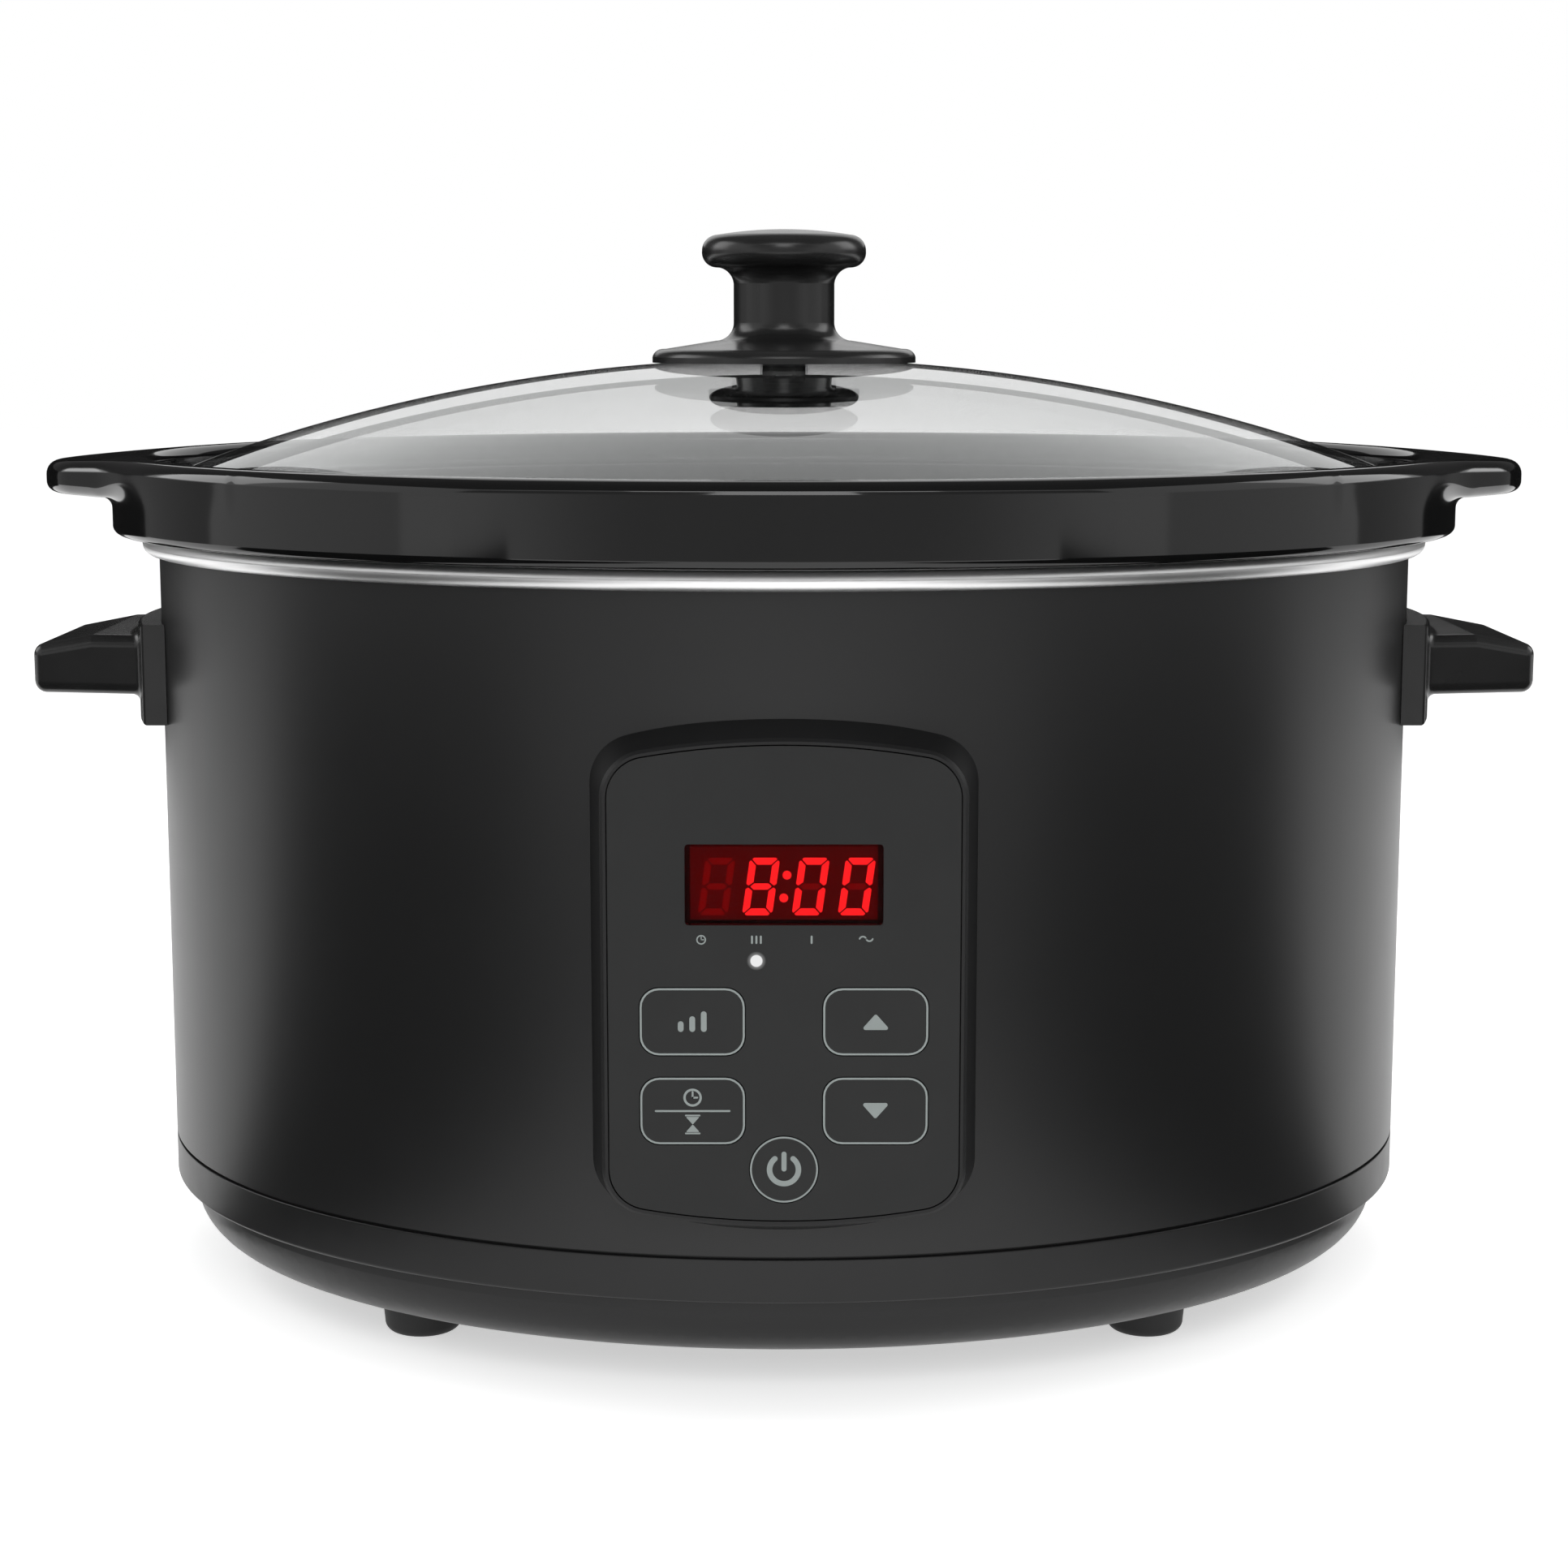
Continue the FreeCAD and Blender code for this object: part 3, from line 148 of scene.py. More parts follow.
# %% The white room
white = (1.0, 1.0, 1.0, 1.0)
ambient_level = 0.55
world = bpy.data.worlds.new("white_room")
world.use_nodes = True
bpy.context.scene.world = world
sky = world.node_tree.nodes["Background"]
fill(sky, {"Color": white})
room_level = add_node(world.node_tree, "ShaderNodeMapRange")
fill(room_level, {"To Min": ambient_level, "To Max": 1.0})
world.node_tree.links.new(seen_directly(world.node_tree), room_level.inputs["Value"])
world.node_tree.links.new(room_level.outputs["Result"], sky.inputs["Strength"])
print("white room, ambient level", ambient_level)

# %% The floor
def flat_sheet(name, corners, finish):
    """An object with one four-cornered face."""
    mesh = bpy.data.meshes.new(name)
    mesh.from_pydata(corners, [], [(0, 1, 2, 3)])
    mesh.materials.append(finish)
    sheet = bpy.data.objects.new(name, mesh)
    bpy.context.collection.objects.link(sheet)
    return sheet


def lying(x0, x1, y0, y1, height):
    """Corners of a level sheet."""
    return [(x0, y0, height), (x1, y0, height), (x1, y1, height), (x0, y1, height)]


floor_half = 6.0
floor_glow = 0.55
paper, paper_tree, paper_shader = new_finish("white_paper", 1.0, specular=0.0)
fill(paper_shader, {"Base Color": (0.85, 0.85, 0.85, 1.0), "Emission Color": white})
paper_glow = add_node(paper_tree, "ShaderNodeMath", operation="MULTIPLY")
fill(paper_glow, {1: floor_glow})
paper_tree.links.new(seen_directly(paper_tree), paper_glow.inputs[0])
paper_tree.links.new(paper_glow.outputs[0], paper_shader.inputs["Emission Strength"])
floor = flat_sheet("floor", lying(-floor_half, floor_half, -floor_half, floor_half, 0.0), paper)
print("floor", 2 * floor_half, "m across")

# %% [markdown]
# ## Soft lamps
#
# One broad lamp above and in front does most of the work. Two weaker ones at the sides lift the
# handles out of the dark, and one overhead lights the lid. Broad lamps give soft edges, which is
# what a studio's cloth boxes do. Each lamp is aimed at the middle of the body.

# %% Hang the lamps
aim = Vector((0.0, 0.0, 0.12))


def soft_lamp(name, place, width, height, power):
    """A rectangular lamp that faces the cooker."""
    light = bpy.data.lights.new(name, "AREA")
    light.shape = "RECTANGLE"
    light.size = width
    light.size_y = height
    light.energy = power
    lamp = bpy.data.objects.new(name, light)
    lamp.location = place
    lamp.rotation_euler = (aim - Vector(place)).to_track_quat("-Z", "Y").to_euler()
    bpy.context.collection.objects.link(lamp)
    return lamp


lamps = [
    soft_lamp("front_lamp", (0.0, -1.5, 1.0), 1.2, 0.8, 9.0),
    soft_lamp("left_lamp", (-1.3, 0.3, 0.9), 0.8, 1.0, 5.0),
    soft_lamp("right_lamp", (1.3, 0.3, 0.9), 0.8, 1.0, 5.0),
    soft_lamp("top_lamp", (0.0, 0.2, 1.6), 1.0, 0.8, 5.0),
]
print("lamps:", [(lamp.name, lamp.data.energy) for lamp in lamps])

# %% [markdown]
# ## Dark cards
#
# A glossy black object in an all-white room looks grey and flat. Photographers stand black
# cards just outside the picture, so that the dark returns between the highlights. Ours are
# seen by reflections only: they throw no shadow and never show in the picture. Cloths on the
# floor at both sides make the dark bands on the shell. Cards behind keep the tops of the lugs
# black, and those above the rounded edge of the collar. Cards at the sides, from black to pale
# grey, end the shine on the collar in a sharp line. One behind the camera is dimmest in its
# middle, which calms the front of the collar.

# %% Stand the cards
def card(name, corners, level, fade=None):
    """A sheet that only reflections see; fade gives where, out from its middle, it turns white."""
    cloth, tree, shader = new_finish(name, 0.5, specular=0.0)
    black = (0.0, 0.0, 0.0, 1.0)
    fill(shader, {"Base Color": black, "Emission Color": white, "Emission Strength": level})
    if fade:
        across = add_node(tree, "ShaderNodeSeparateXYZ")
        outward = add_node(tree, "ShaderNodeMath", operation="ABSOLUTE")
        rise = add_node(tree, "ShaderNodeMapRange", interpolation_type="SMOOTHSTEP")
        fill(rise, {"From Min": fade[0], "From Max": fade[1], "To Min": level, "To Max": 1.0})
        give_place(tree, across.inputs[0])
        tree.links.new(across.outputs["X"], outward.inputs[0])
        tree.links.new(outward.outputs[0], rise.inputs["Value"])
        tree.links.new(rise.outputs["Result"], shader.inputs["Emission Strength"])
    sheet = flat_sheet(name, corners, cloth)
    for ray in ("camera", "diffuse", "transmission", "shadow", "volume_scatter"):
        setattr(sheet, "visible_" + ray, False)
    return sheet


def standing(x0, y0, x1, y1, low, high):
    """Corners of an upright sheet over a line on the floor."""
    return [(x0, y0, low), (x1, y1, low), (x1, y1, high), (x0, y0, high)]


back_y = 0.6
front_y = -1.2
side_x = 1.0
back_top = 0.33
front_top = 0.6
ceiling_z = 1.1
front_half = 1.3
front_fade = (0.35, 1.25)
cards = [
    card("back_card", standing(-side_x, back_y, side_x, back_y, 0.04, back_top), 0.01),
    card("top_card", lying(-1.1, 1.1, -1.0, back_y, ceiling_z), 0.12),
    card("front_card", standing(-front_half, front_y, front_half, front_y, 0.05, front_top),
         0.44, front_fade),
]
for side, word in ((-1, "left"), (1, "right")):
    outlines = {
        "floor_cloth": (lying(side * 0.17, side * 1.1, -0.72, -0.02, 0.002), 0.0),
        "side_card": (standing(side * side_x, 0.085, side * side_x, back_y, 0.09, back_top), 0.25),
        "grey_card": (standing(side * side_x, -0.7, side * side_x, 0.085, 0.09, back_top), 0.72),
        "high_card": (standing(side * 0.33, back_y, side * 1.1, back_y, back_top, ceiling_z), 0.08),
        "brow_card": (standing(side * 0.22, front_y, side * front_half, front_y, front_top, ceiling_z),
                      0.3),
        "low_card": (standing(side * 0.45, -0.60, side * 0.45, -0.08, 0.0, 0.15), 0.0),
    }
    for kind, (outline, level) in outlines.items():
        cards.append(card(word + "_" + kind, outline, level))
print("cards:", [sheet.name for sheet in cards])

# %% [markdown]
# ## How a finish is made
#
# A finish here is one Principled shader whose colour, gloss and surface are disturbed a little
# by noise, because no real surface is perfectly even. The noise is laid in the piece's own
# millimetres, so a grain that is 0.4 mm on the real moulding is 0.4 mm here.

# %% Helpers for finishes
def grain(tree, size_mm, detail=3.0, stretch=(1.0, 1.0, 1.0)):
    """Noise with grains of that size, fixed to the piece."""
    stretched = add_node(tree, "ShaderNodeMapping")
    fill(stretched, {"Scale": stretch})
    noise = add_node(tree, "ShaderNodeTexNoise")
    fill(noise, {"Scale": 1000.0 / size_mm, "Detail": detail})
    give_place(tree, stretched.inputs["Vector"])
    tree.links.new(stretched.outputs["Vector"], noise.inputs["Vector"])
    return noise.outputs["Fac"]


def scaled(shade, factor):
    """A shade made lighter or darker."""
    return tuple(factor * value for value in shade)


def vary_colour(tree, shader, pattern, dark, light):
    """Colour that wanders between two shades."""
    mix = add_node(tree, "ShaderNodeMix", data_type="RGBA")
    fill(mix, {6: (*dark, 1.0), 7: (*light, 1.0)})
    tree.links.new(pattern, mix.inputs[0])
    tree.links.new(mix.outputs[2], shader.inputs["Base Color"])


def vary_roughness(tree, shader, pattern, low, high):
    """Gloss that wanders between two values."""
    limits = add_node(tree, "ShaderNodeMapRange")
    fill(limits, {"To Min": low, "To Max": high})
    tree.links.new(pattern, limits.inputs["Value"])
    tree.links.new(limits.outputs["Result"], shader.inputs["Roughness"])


def dimple(tree, shader, pattern, depth_mm, strength=1.0):
    """Raises and lowers the surface by the pattern."""
    bump = add_node(tree, "ShaderNodeBump")
    fill(bump, {"Distance": depth_mm / 1000.0, "Strength": strength})
    tree.links.new(pattern, bump.inputs["Height"])
    tree.links.new(bump.outputs["Normal"], shader.inputs["Normal"])


finishes = {}
print("finish helpers ready")

# %% [markdown]
# ## Satin black paint
#
# The shell is steel sheet with a baked satin paint. Such paint dries with a very faint orange
# peel: ripples about a millimetre wide and a few thousandths deep. It is nearly black, and most
# of the grey we see on it is the white room, blurred by the satin surface.

# %% Paint for the shell
def satin_paint():
    """Near black, with faint orange peel."""
    finish, tree, shader = new_finish("satin_paint", 0.35, specular=0.4)
    clouds = grain(tree, 60.0)
    vary_colour(tree, shader, clouds, (0.0080, 0.0080, 0.0082), (0.0100, 0.0100, 0.0102))
    vary_roughness(tree, shader, grain(tree, 25.0), 0.33, 0.37)
    dimple(tree, shader, grain(tree, 1.2, detail=1.0), 0.004, 0.35)
    return finish


finishes["shell_paint"] = satin_paint()
print("paint:", finishes["shell_paint"].name)

# %% [markdown]
# ## Polished rim, sheet steel and small hardware
#
# The liner's rolled rim is the one bright line on the cooker. A buff leaves hairlines round it,
# so fine that the room blurs to an even satin. Screws, straps and the shield are plain plated
# sheet: the same metal, duller and cloudier.

# %% Steel finishes
def polished_rim():
    """Bright steel with hairlines round it."""
    finish, tree, shader = new_finish("polished_rim", 0.40, metallic=1.0)
    hairlines = grain(tree, 0.5, stretch=(0.05, 0.05, 1.0))
    vary_colour(tree, shader, grain(tree, 30.0), (0.86, 0.86, 0.86), (0.92, 0.92, 0.92))
    vary_roughness(tree, shader, hairlines, 0.39, 0.42)
    return finish


def plated_steel(name, shade, roughness):
    """Dull, cloudy sheet."""
    finish, tree, shader = new_finish(name, roughness, metallic=1.0)
    clouds = grain(tree, 4.0, detail=5.0)
    vary_colour(tree, shader, clouds, scaled(shade, 0.85), shade)
    vary_roughness(tree, shader, clouds, roughness - 0.08, roughness + 0.08)
    dimple(tree, shader, grain(tree, 0.6), 0.004, 0.4)
    return finish


finishes["rim_steel"] = polished_rim()
finishes["bracket_steel"] = plated_steel("plated_sheet", (0.62, 0.62, 0.61), 0.38)
finishes["fastener_steel"] = plated_steel("zinc_fasteners", (0.66, 0.65, 0.62), 0.30)
finishes["probe_metal"] = plated_steel("drawn_aluminium", (0.75, 0.75, 0.76), 0.34)
print("steel finishes made")

# %% [markdown]
# ## Moulded plastics and rubber
#
# Moulded black plastic carries the texture of its mould, a fine even sparkle. The grips and the
# knob come out of a smoother mould than the base, so they shine more. Rubber is the dullest,
# with a slightly lighter, dusty skin.

# %% Plastics and rubber
def moulded(name, shade, roughness, texture_mm, depth_mm, specular=0.5):
    """Moulded plastic: an even shade, the mould's texture and a slow change of gloss."""
    finish, tree, shader = new_finish(name, roughness, specular=specular)
    vary_colour(tree, shader, grain(tree, 12.0), shade, scaled(shade, 1.25))
    vary_roughness(tree, shader, grain(tree, 8.0), roughness - 0.04, roughness + 0.04)
    dimple(tree, shader, grain(tree, texture_mm, detail=2.0), depth_mm, 0.4)
    return finish


plastics = {
    "base_plastic": ("base_moulding", (0.0078, 0.0078, 0.0080), 0.36, 0.5, 0.005, 0.36),
    "handle_plastic": ("grip_moulding", (0.011, 0.011, 0.011), 0.25, 0.8, 0.003, 0.42),
    "panel_plastic": ("bezel_moulding", (0.009, 0.009, 0.0093), 0.44, 0.4, 0.005, 0.28),
    "gland_plastic": ("gland_nylon", (0.012, 0.012, 0.012), 0.45, 0.5, 0.006),
    "foot_rubber": ("foot_rubber", (0.012, 0.012, 0.012), 0.62, 0.35, 0.010),
    "seal_silicone": ("seal_silicone", (0.05, 0.05, 0.05), 0.50, 0.6, 0.006),
    "component_black": ("component_epoxy", (0.02, 0.02, 0.022), 0.50, 0.4, 0.006),
    "wire_cover": ("wire_cover", (0.42, 0.42, 0.40), 0.55, 0.7, 0.010),
    "lamp_clear": ("lamp_bodies", (0.70, 0.70, 0.70), 0.25, 0.5, 0.003),
}
for slot, recipe in plastics.items():
    finishes[slot] = moulded(*recipe)
print("plastics made:", len(finishes))

# %% [markdown]
# ## Panel film
#
# The front plate and the key tops share one dark grey film, so that the keys seem to be part
# of the plate. It is a touch lighter than the shell and duller, which keeps reflections off
# the print.

# %% Film for the plate and keys
film_shade = (0.013, 0.0134, 0.0134)
finishes["plate_film"] = moulded("panel_film", film_shade, 0.55, 0.25, 0.003, specular=0.3)
print("film:", finishes["plate_film"].name)

# %% [markdown]
# ## Glazed stoneware
#
# The crock is fired clay under a black glaze. Glaze is glass, so it is glossy and mirrors the
# room sharply, but it never dries flat: it pools in long shallow waves. A slow noise a few
# centimetres wide bends the reflections just enough to say so.

# %% Glaze for the crock
def black_glaze():
    """Glossy black with long shallow waves."""
    finish, tree, shader = new_finish("black_glaze", 0.07)
    vary_colour(tree, shader, grain(tree, 18.0), (0.0035, 0.0035, 0.0036), (0.0055, 0.0055, 0.0056))
    vary_roughness(tree, shader, grain(tree, 30.0), 0.05, 0.11)
    dimple(tree, shader, grain(tree, 45.0, detail=1.0), 0.03, 0.15)
    return finish


finishes["stoneware"] = black_glaze()
print("glaze:", finishes["stoneware"].name)

# %% [markdown]
# ## Clear glass
#
# The lid is pressed from clear toughened glass about four millimetres thick. Glass that bends
# light shifts everything behind it, and the shift grows at the flat angle that we look from, so
# the far rim would sink out of sight. A thin pane hardly shifts the view: it lets light
# straight through and mirrors more as we look along it. So the finish is a mirror that is
# nearly clear face on and closes up towards the edge, by the usual rule of thumb for glass:
# four percent face on, rising with the fifth power of the slant.

# %% Glass for the lid
face_on_mirror = 0.04


def clear_glass():
    """A mirror that is nearly clear face on."""
    finish, tree, shader = new_finish("clear_glass", 0.02, metallic=1.0)
    fill(shader, {"Base Color": (0.93, 0.95, 0.945, 1.0)})
    slant = add_node(tree, "ShaderNodeLayerWeight")
    fifth = add_node(tree, "ShaderNodeMath", operation="POWER")
    fill(fifth, {1: 5.0})
    share = add_node(tree, "ShaderNodeMath", operation="MULTIPLY_ADD")
    fill(share, {1: 1.0 - face_on_mirror, 2: face_on_mirror})
    tree.links.new(slant.outputs["Facing"], fifth.inputs[0])
    tree.links.new(fifth.outputs[0], share.inputs[0])
    tree.links.new(share.outputs[0], shader.inputs["Alpha"])
    return finish


finishes["lid_clear"] = clear_glass()
print("glass:", finishes["lid_clear"].name)

# %% [markdown]
# ## Inside finishes
#
# Nobody sees the electronics unless the cooker is taken apart, but a library part should not
# go blank when it is. The boards are green lacquer over copper, and the heater is a woven glass
# tape, which a fine checker stands for.

# %% Boards and heater tape
def green_board():
    """Green lacquer with raised tracks under it."""
    finish, tree, shader = new_finish("green_board", 0.35)
    tracks = add_node(tree, "ShaderNodeTexBrick")
    fill(tracks, {"Scale": 90.0, "Mortar Size": 0.03, "Mortar": (0.05, 0.18, 0.06, 1.0),
                  "Color1": (0.012, 0.085, 0.030, 1.0), "Color2": (0.016, 0.105, 0.036, 1.0)})
    give_place(tree, tracks.inputs["Vector"])
    tree.links.new(tracks.outputs["Color"], shader.inputs["Base Color"])
    dimple(tree, shader, tracks.outputs["Fac"], 0.03, 0.3)
    return finish


def woven_tape():
    """Glass tape, woven from two shades of yarn."""
    finish, tree, shader = new_finish("woven_tape", 0.85)
    weave = add_node(tree, "ShaderNodeTexChecker")
    fill(weave, {"Scale": 900.0, "Color1": (0.62, 0.59, 0.52, 1.0), "Color2": (0.48, 0.45, 0.39, 1.0)})
    give_place(tree, weave.inputs["Vector"])
    tree.links.new(weave.outputs["Color"], shader.inputs["Base Color"])
    dimple(tree, shader, weave.outputs["Fac"], 0.15, 0.6)
    return finish


finishes["circuit_board"] = green_board()
finishes["heater_tape"] = woven_tape()
print("inside finishes made")

# %% [markdown]
# ## Red lens and display block
#
# The display is a block of red lamps behind a red lens. The lens lets only red through, so the
# dark block behind it reads as deep red and the lit bars as bright red. The block also gets a
# faint painted red glow, though its face is not lit. The lens is real tinted plastic here, and
# the bars sit behind it where the block's face is.

# %% Lens and display
def red_lens():
    """Clear plastic, tinted red."""
    finish, tree, shader = new_finish("red_lens", 0.06)
    fill(shader, {"Base Color": (0.60, 0.022, 0.030, 1.0), "Transmission Weight": 1.0, "IOR": 1.1})
    dimple(tree, shader, grain(tree, 1.5), 0.002, 0.2)
    return finish


def glowing(name, shade, glow, strength):
    """A surface that gives off its own light, a little uneven as a diffuser is."""
    finish, tree, shader = new_finish(name, 0.5)
    vary_colour(tree, shader, grain(tree, 2.0), scaled(shade, 0.9), shade)
    fill(shader, {"Emission Color": (*glow, 1.0), "Emission Strength": strength})
    return finish


finishes["window_red"] = red_lens()
# The block's faint red glow is painted light: the block's face is not lit.
finishes["display_black"] = glowing("display_block_painted_glow", (0.06, 0.02, 0.02), (1.0, 0.05, 0.08), 0.030)
print("all slots:", len(finishes))

# %% [markdown]
# ## Dress the solids
#
# The record that came with the solids says which finish slot each one belongs to. We go through
# that list once, so no solid can be forgotten, and stop if a slot has no finish.

# %% Give every solid its finish
for part in record["subparts"]:
    solid = frame["nodes"][part["node"]]
    solid.data.materials.clear()
    solid.data.materials.append(finishes[part["material_slot"]])
print("dressed", len(record["subparts"]), "solids in", len(finishes), "finishes")

# %% [markdown]
# ## Smooth ovals
#
# The painted wall, the steel rim, the base band and the crock are ovals. A solid's flat facets
# would break up the long reflections that run round them, so these pieces are turned again here.
# As on a potter's wheel, one section is drawn and carried round, but along an oval. A spin
# modifier can only turn circles, so the rings are placed by formula.

# %% Helpers that turn a section round the oval
MM = 0.001
shell_low, shell_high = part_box("outer_shell")
half_width = shell_high.x / MM
half_depth = shell_high.y / MM
sharp_angle = math.radians(35)


def eased(corners, arc_parts=7, support=0.2):
    """Section points from corners (offset, height, radius), each corner rounded by its radius.

    A point at that support distance before and after a rounding keeps the flats flat in shading.
    """
    points = []
    for i, (x, z, radius) in enumerate(corners):
        if not radius:
            points.append((x, z))
            continue
        middle = Vector((x, z))
        before = (Vector(corners[i - 1][:2]) - middle).normalized()
        after = (Vector(corners[(i + 1) % len(corners)][:2]) - middle).normalized()
        half_angle = before.angle(after) / 2
        run = radius / math.tan(half_angle)
        centre = middle + (before + after).normalized() * radius / math.sin(half_angle)
        start, end = before * run + middle - centre, after * run + middle - centre
        arc = [centre + start.slerp(end, step / arc_parts) * radius for step in range(arc_parts + 1)]
        if support:
            arc = [centre + start + before * support] + arc + [centre + end + after * support]
        points += [tuple(point) for point in arc]
    return points


def on_oval(offset, height, turn):
    """The point at that turn of the shell's oval, moved outwards by the offset."""
    x = (half_width + offset) * math.cos(turn)
    y = (half_depth + offset) * math.sin(turn)
    return Vector((x, y, height))


def skin(rows, closed):
    """Cover rings of points with smooth faces; an open stack gets a flat cap at each end."""
    mesh = bmesh.new()
    rings = [[mesh.verts.new(point * MM) for point in row] for row in rows]
    for ring, after in zip(rings, rings[1:] + rings[:closed]):
        for i in range(len(ring)):
            mesh.faces.new((ring[i - 1], ring[i], after[i], after[i - 1])).smooth = True
    if not closed:
        mesh.faces.new(rings[0])
        mesh.faces.new(rings[-1])
    return mesh


def as_piece(mesh, name, body, finish, y=0.0):
    """Turn a bmesh into a piece that rides a body and wears a finish."""
    bmesh.ops.recalc_face_normals(mesh, faces=mesh.faces[:])
    for edge in mesh.edges:
        edge.smooth = edge.calc_face_angle(0.0) < sharp_angle
    data = bpy.data.meshes.new(name)
    mesh.to_mesh(data)
    mesh.free()
    data.materials.append(finish)
    piece = bpy.data.objects.new(name, data)
    piece.location.y = y
    bpy.context.collection.objects.link(piece)
    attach(piece, body)
    return piece


def settle(mesh, name, body, node, slot):
    """Make a bmesh the piece that stands for a node, in that node's finish."""
    piece = as_piece(mesh, name, body, finishes[slot])
    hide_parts(node)
    print(name, "has", len(piece.data.polygons), "faces")


# %% [markdown]
# ## Rim and base band
#
# The steel liner ends in a rolled rim, the bright ring under the crock. Its section is a thin
# wall with a bead that is nearly round. The base band is an upright plastic hoop, and its lower
# edge, barely rounded, catches a fine line of light. A shallow groove above the band makes the
# dark seam under the paint.

# %% Turn the rim and the band
oval_steps = 480
oval_turns = [2 * math.pi * i / oval_steps for i in range(oval_steps)]
liner_low, liner_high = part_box("heating_liner")
rim_z = liner_high.z / MM
liner_z = liner_low.z / MM
shell_z = shell_low.z / MM
shell_top_z = shell_high.z / MM
liner_wall = 0.7
liner_side = -10.6
liner_bend = 10.0
floor_end = -40.0
shell_gap = 0.25
bead_reach = 4.0
bead_z = rim_z - 4.9
rim_corners = [
    (floor_end, liner_z, 0), (liner_side, liner_z, liner_bend),
    (liner_side, shell_top_z + shell_gap, 0), (shell_gap, shell_top_z + shell_gap, 0),
    (shell_gap, bead_z, 0), (bead_reach, bead_z, 2.4), (bead_reach, rim_z, 2.3),
    (liner_side - liner_wall, rim_z, 0),
    (liner_side - liner_wall, liner_z + liner_wall, liner_bend - liner_wall),
    (floor_end, liner_z + liner_wall, 0),
]


def turned(corners, closed):
    """Carry a section round the oval."""
    return skin([[on_oval(x, z, turn) for turn in oval_turns] for x, z in eased(corners)], closed)


settle(turned(rim_corners, False), "rolled_rim", "cooker", "heating_liner", "rim_steel")
band_low, band_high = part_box("base_ring")
band_z = band_low.z / MM
lip_z = band_high.z / MM
seam_z = shell_z - 0.8
lip_outside = -1.1
lip_inside = -3.7
band_inside = -7.4
band_corners = [
    (0.0, seam_z, 0.25), (lip_outside, seam_z, 0), (lip_outside, lip_z, 0), (lip_inside, lip_z, 0),
    (lip_inside, seam_z, 0), (band_inside, seam_z, 0), (band_inside, band_z, 0), (0.0, band_z, 0.8),
]
settle(turned(band_corners, True), "base_band", "cooker", "base_ring", "base_plastic")

# %% [markdown]
# ## Painted wall
#
# The shell is one strip of thin steel, bent to the oval. It is two walls of faces, 0.8 mm apart,
# in three bands from bottom to top. Faces of the middle band are left out behind the panel,
# where the real strip has its window, and the cut edges are closed.

# %% Bend the wall and cut its window
window_half_width = 36.2
window_low, window_high = 48.7, 149.7
shell_wall = 0.8
window_steps = 24
wall_steps = 400


def bend_wall():
    """The wall, with its first steps across the window and the rest all the way round."""
    heights = (shell_z, window_low, window_high, shell_top_z)
    edge_turn = math.acos(window_half_width / half_width)
    across = math.pi - 2 * edge_turn
    turns = [-edge_turn - across * i / window_steps for i in range(window_steps)]
    around = math.pi + 2 * edge_turn
    turns += [edge_turn - math.pi - around * i / wall_steps for i in range(wall_steps)]
    mesh = bmesh.new()
    walls = []
    for offset in (0.0, -shell_wall):
        rows = [[on_oval(offset, z, turn) * MM for turn in turns] for z in heights]
        walls.append([[mesh.verts.new(place) for place in row] for row in rows])
    outer, inner = walls
    count = len(turns)
    for i in range(count):
        after = (i + 1) % count
        for wall in walls:
            for low, high in ((0, 1), (1, 2), (2, 3)):
                if low == 1 and i < window_steps:
                    continue
                corners = (wall[low][i], wall[low][after], wall[high][after], wall[high][i])
                mesh.faces.new(corners).smooth = True
        edges = (0, 1, 2, 3) if i < window_steps else (0, 3)
        for row in edges:
            mesh.faces.new((outer[row][i], outer[row][after], inner[row][after], inner[row][i]))
    for i in (0, window_steps):
        mesh.faces.new((outer[1][i], outer[2][i], inner[2][i], inner[1][i]))
    return mesh


settle(bend_wall(), "painted_wall", "cooker", "outer_shell", "shell_paint")

# %% [markdown]
# ## Glazed crock
#
# The crock is slip-cast in a mould and glazed, so every edge is soft. Its section runs from the
# inside floor up to the ledge for the lid, over the collar and down the outside. The two lugs
# are not stuck on: the collar's section grows outwards there. How far it grows comes from the
# plan, where a round-nosed lug and the oval are joined with a soft corner.

# %% Plan of the collar and lugs
collar_reach = 11.1
lug_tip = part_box("crock")[1].x / MM
lug_nose = 46.7
lug_flank = math.radians(39.73)
lug_middle = lug_tip - lug_nose
lug_blend = 5.0
lug_root_x = 128.0
farthest_growth = 40.0
halvings = 40


def beyond_lug(x, y):
    """How far a point of the plan lies outside the lug, negative inside it."""
    before_root = lug_root_x - abs(x)
    x, y = abs(x) - lug_middle, abs(y)
    if math.atan2(y, x) < lug_flank:
        return math.hypot(x, y) - lug_nose
    return max(before_root, x * math.cos(lug_flank) + y * math.sin(lug_flank) - lug_nose)


def soft_least(first, second):
    """The smaller of two distances, with a soft corner where they are alike."""
    overlap = max(lug_blend - abs(first - second), 0.0) / lug_blend
    return min(first, second) - overlap * overlap * lug_blend / 4


def outward(turn):
    """The way that points straight out of the collar's oval."""
    return Vector((math.cos(turn) / (half_width + collar_reach),
                   math.sin(turn) / (half_depth + collar_reach), 0.0)).normalized()


def lug_growth(turn):
    """How far the collar's outline stands out from its oval, found by halving."""
    start, way = on_oval(collar_reach, 0.0, turn), outward(turn)
    near, far = 0.0, farthest_growth
    for _ in range(halvings):
        middle = (near + far) / 2
        place = start + way * middle
        if soft_least(middle, beyond_lug(place.x, place.y)) < 0:
            near = middle
        else:
            far = middle
    return near


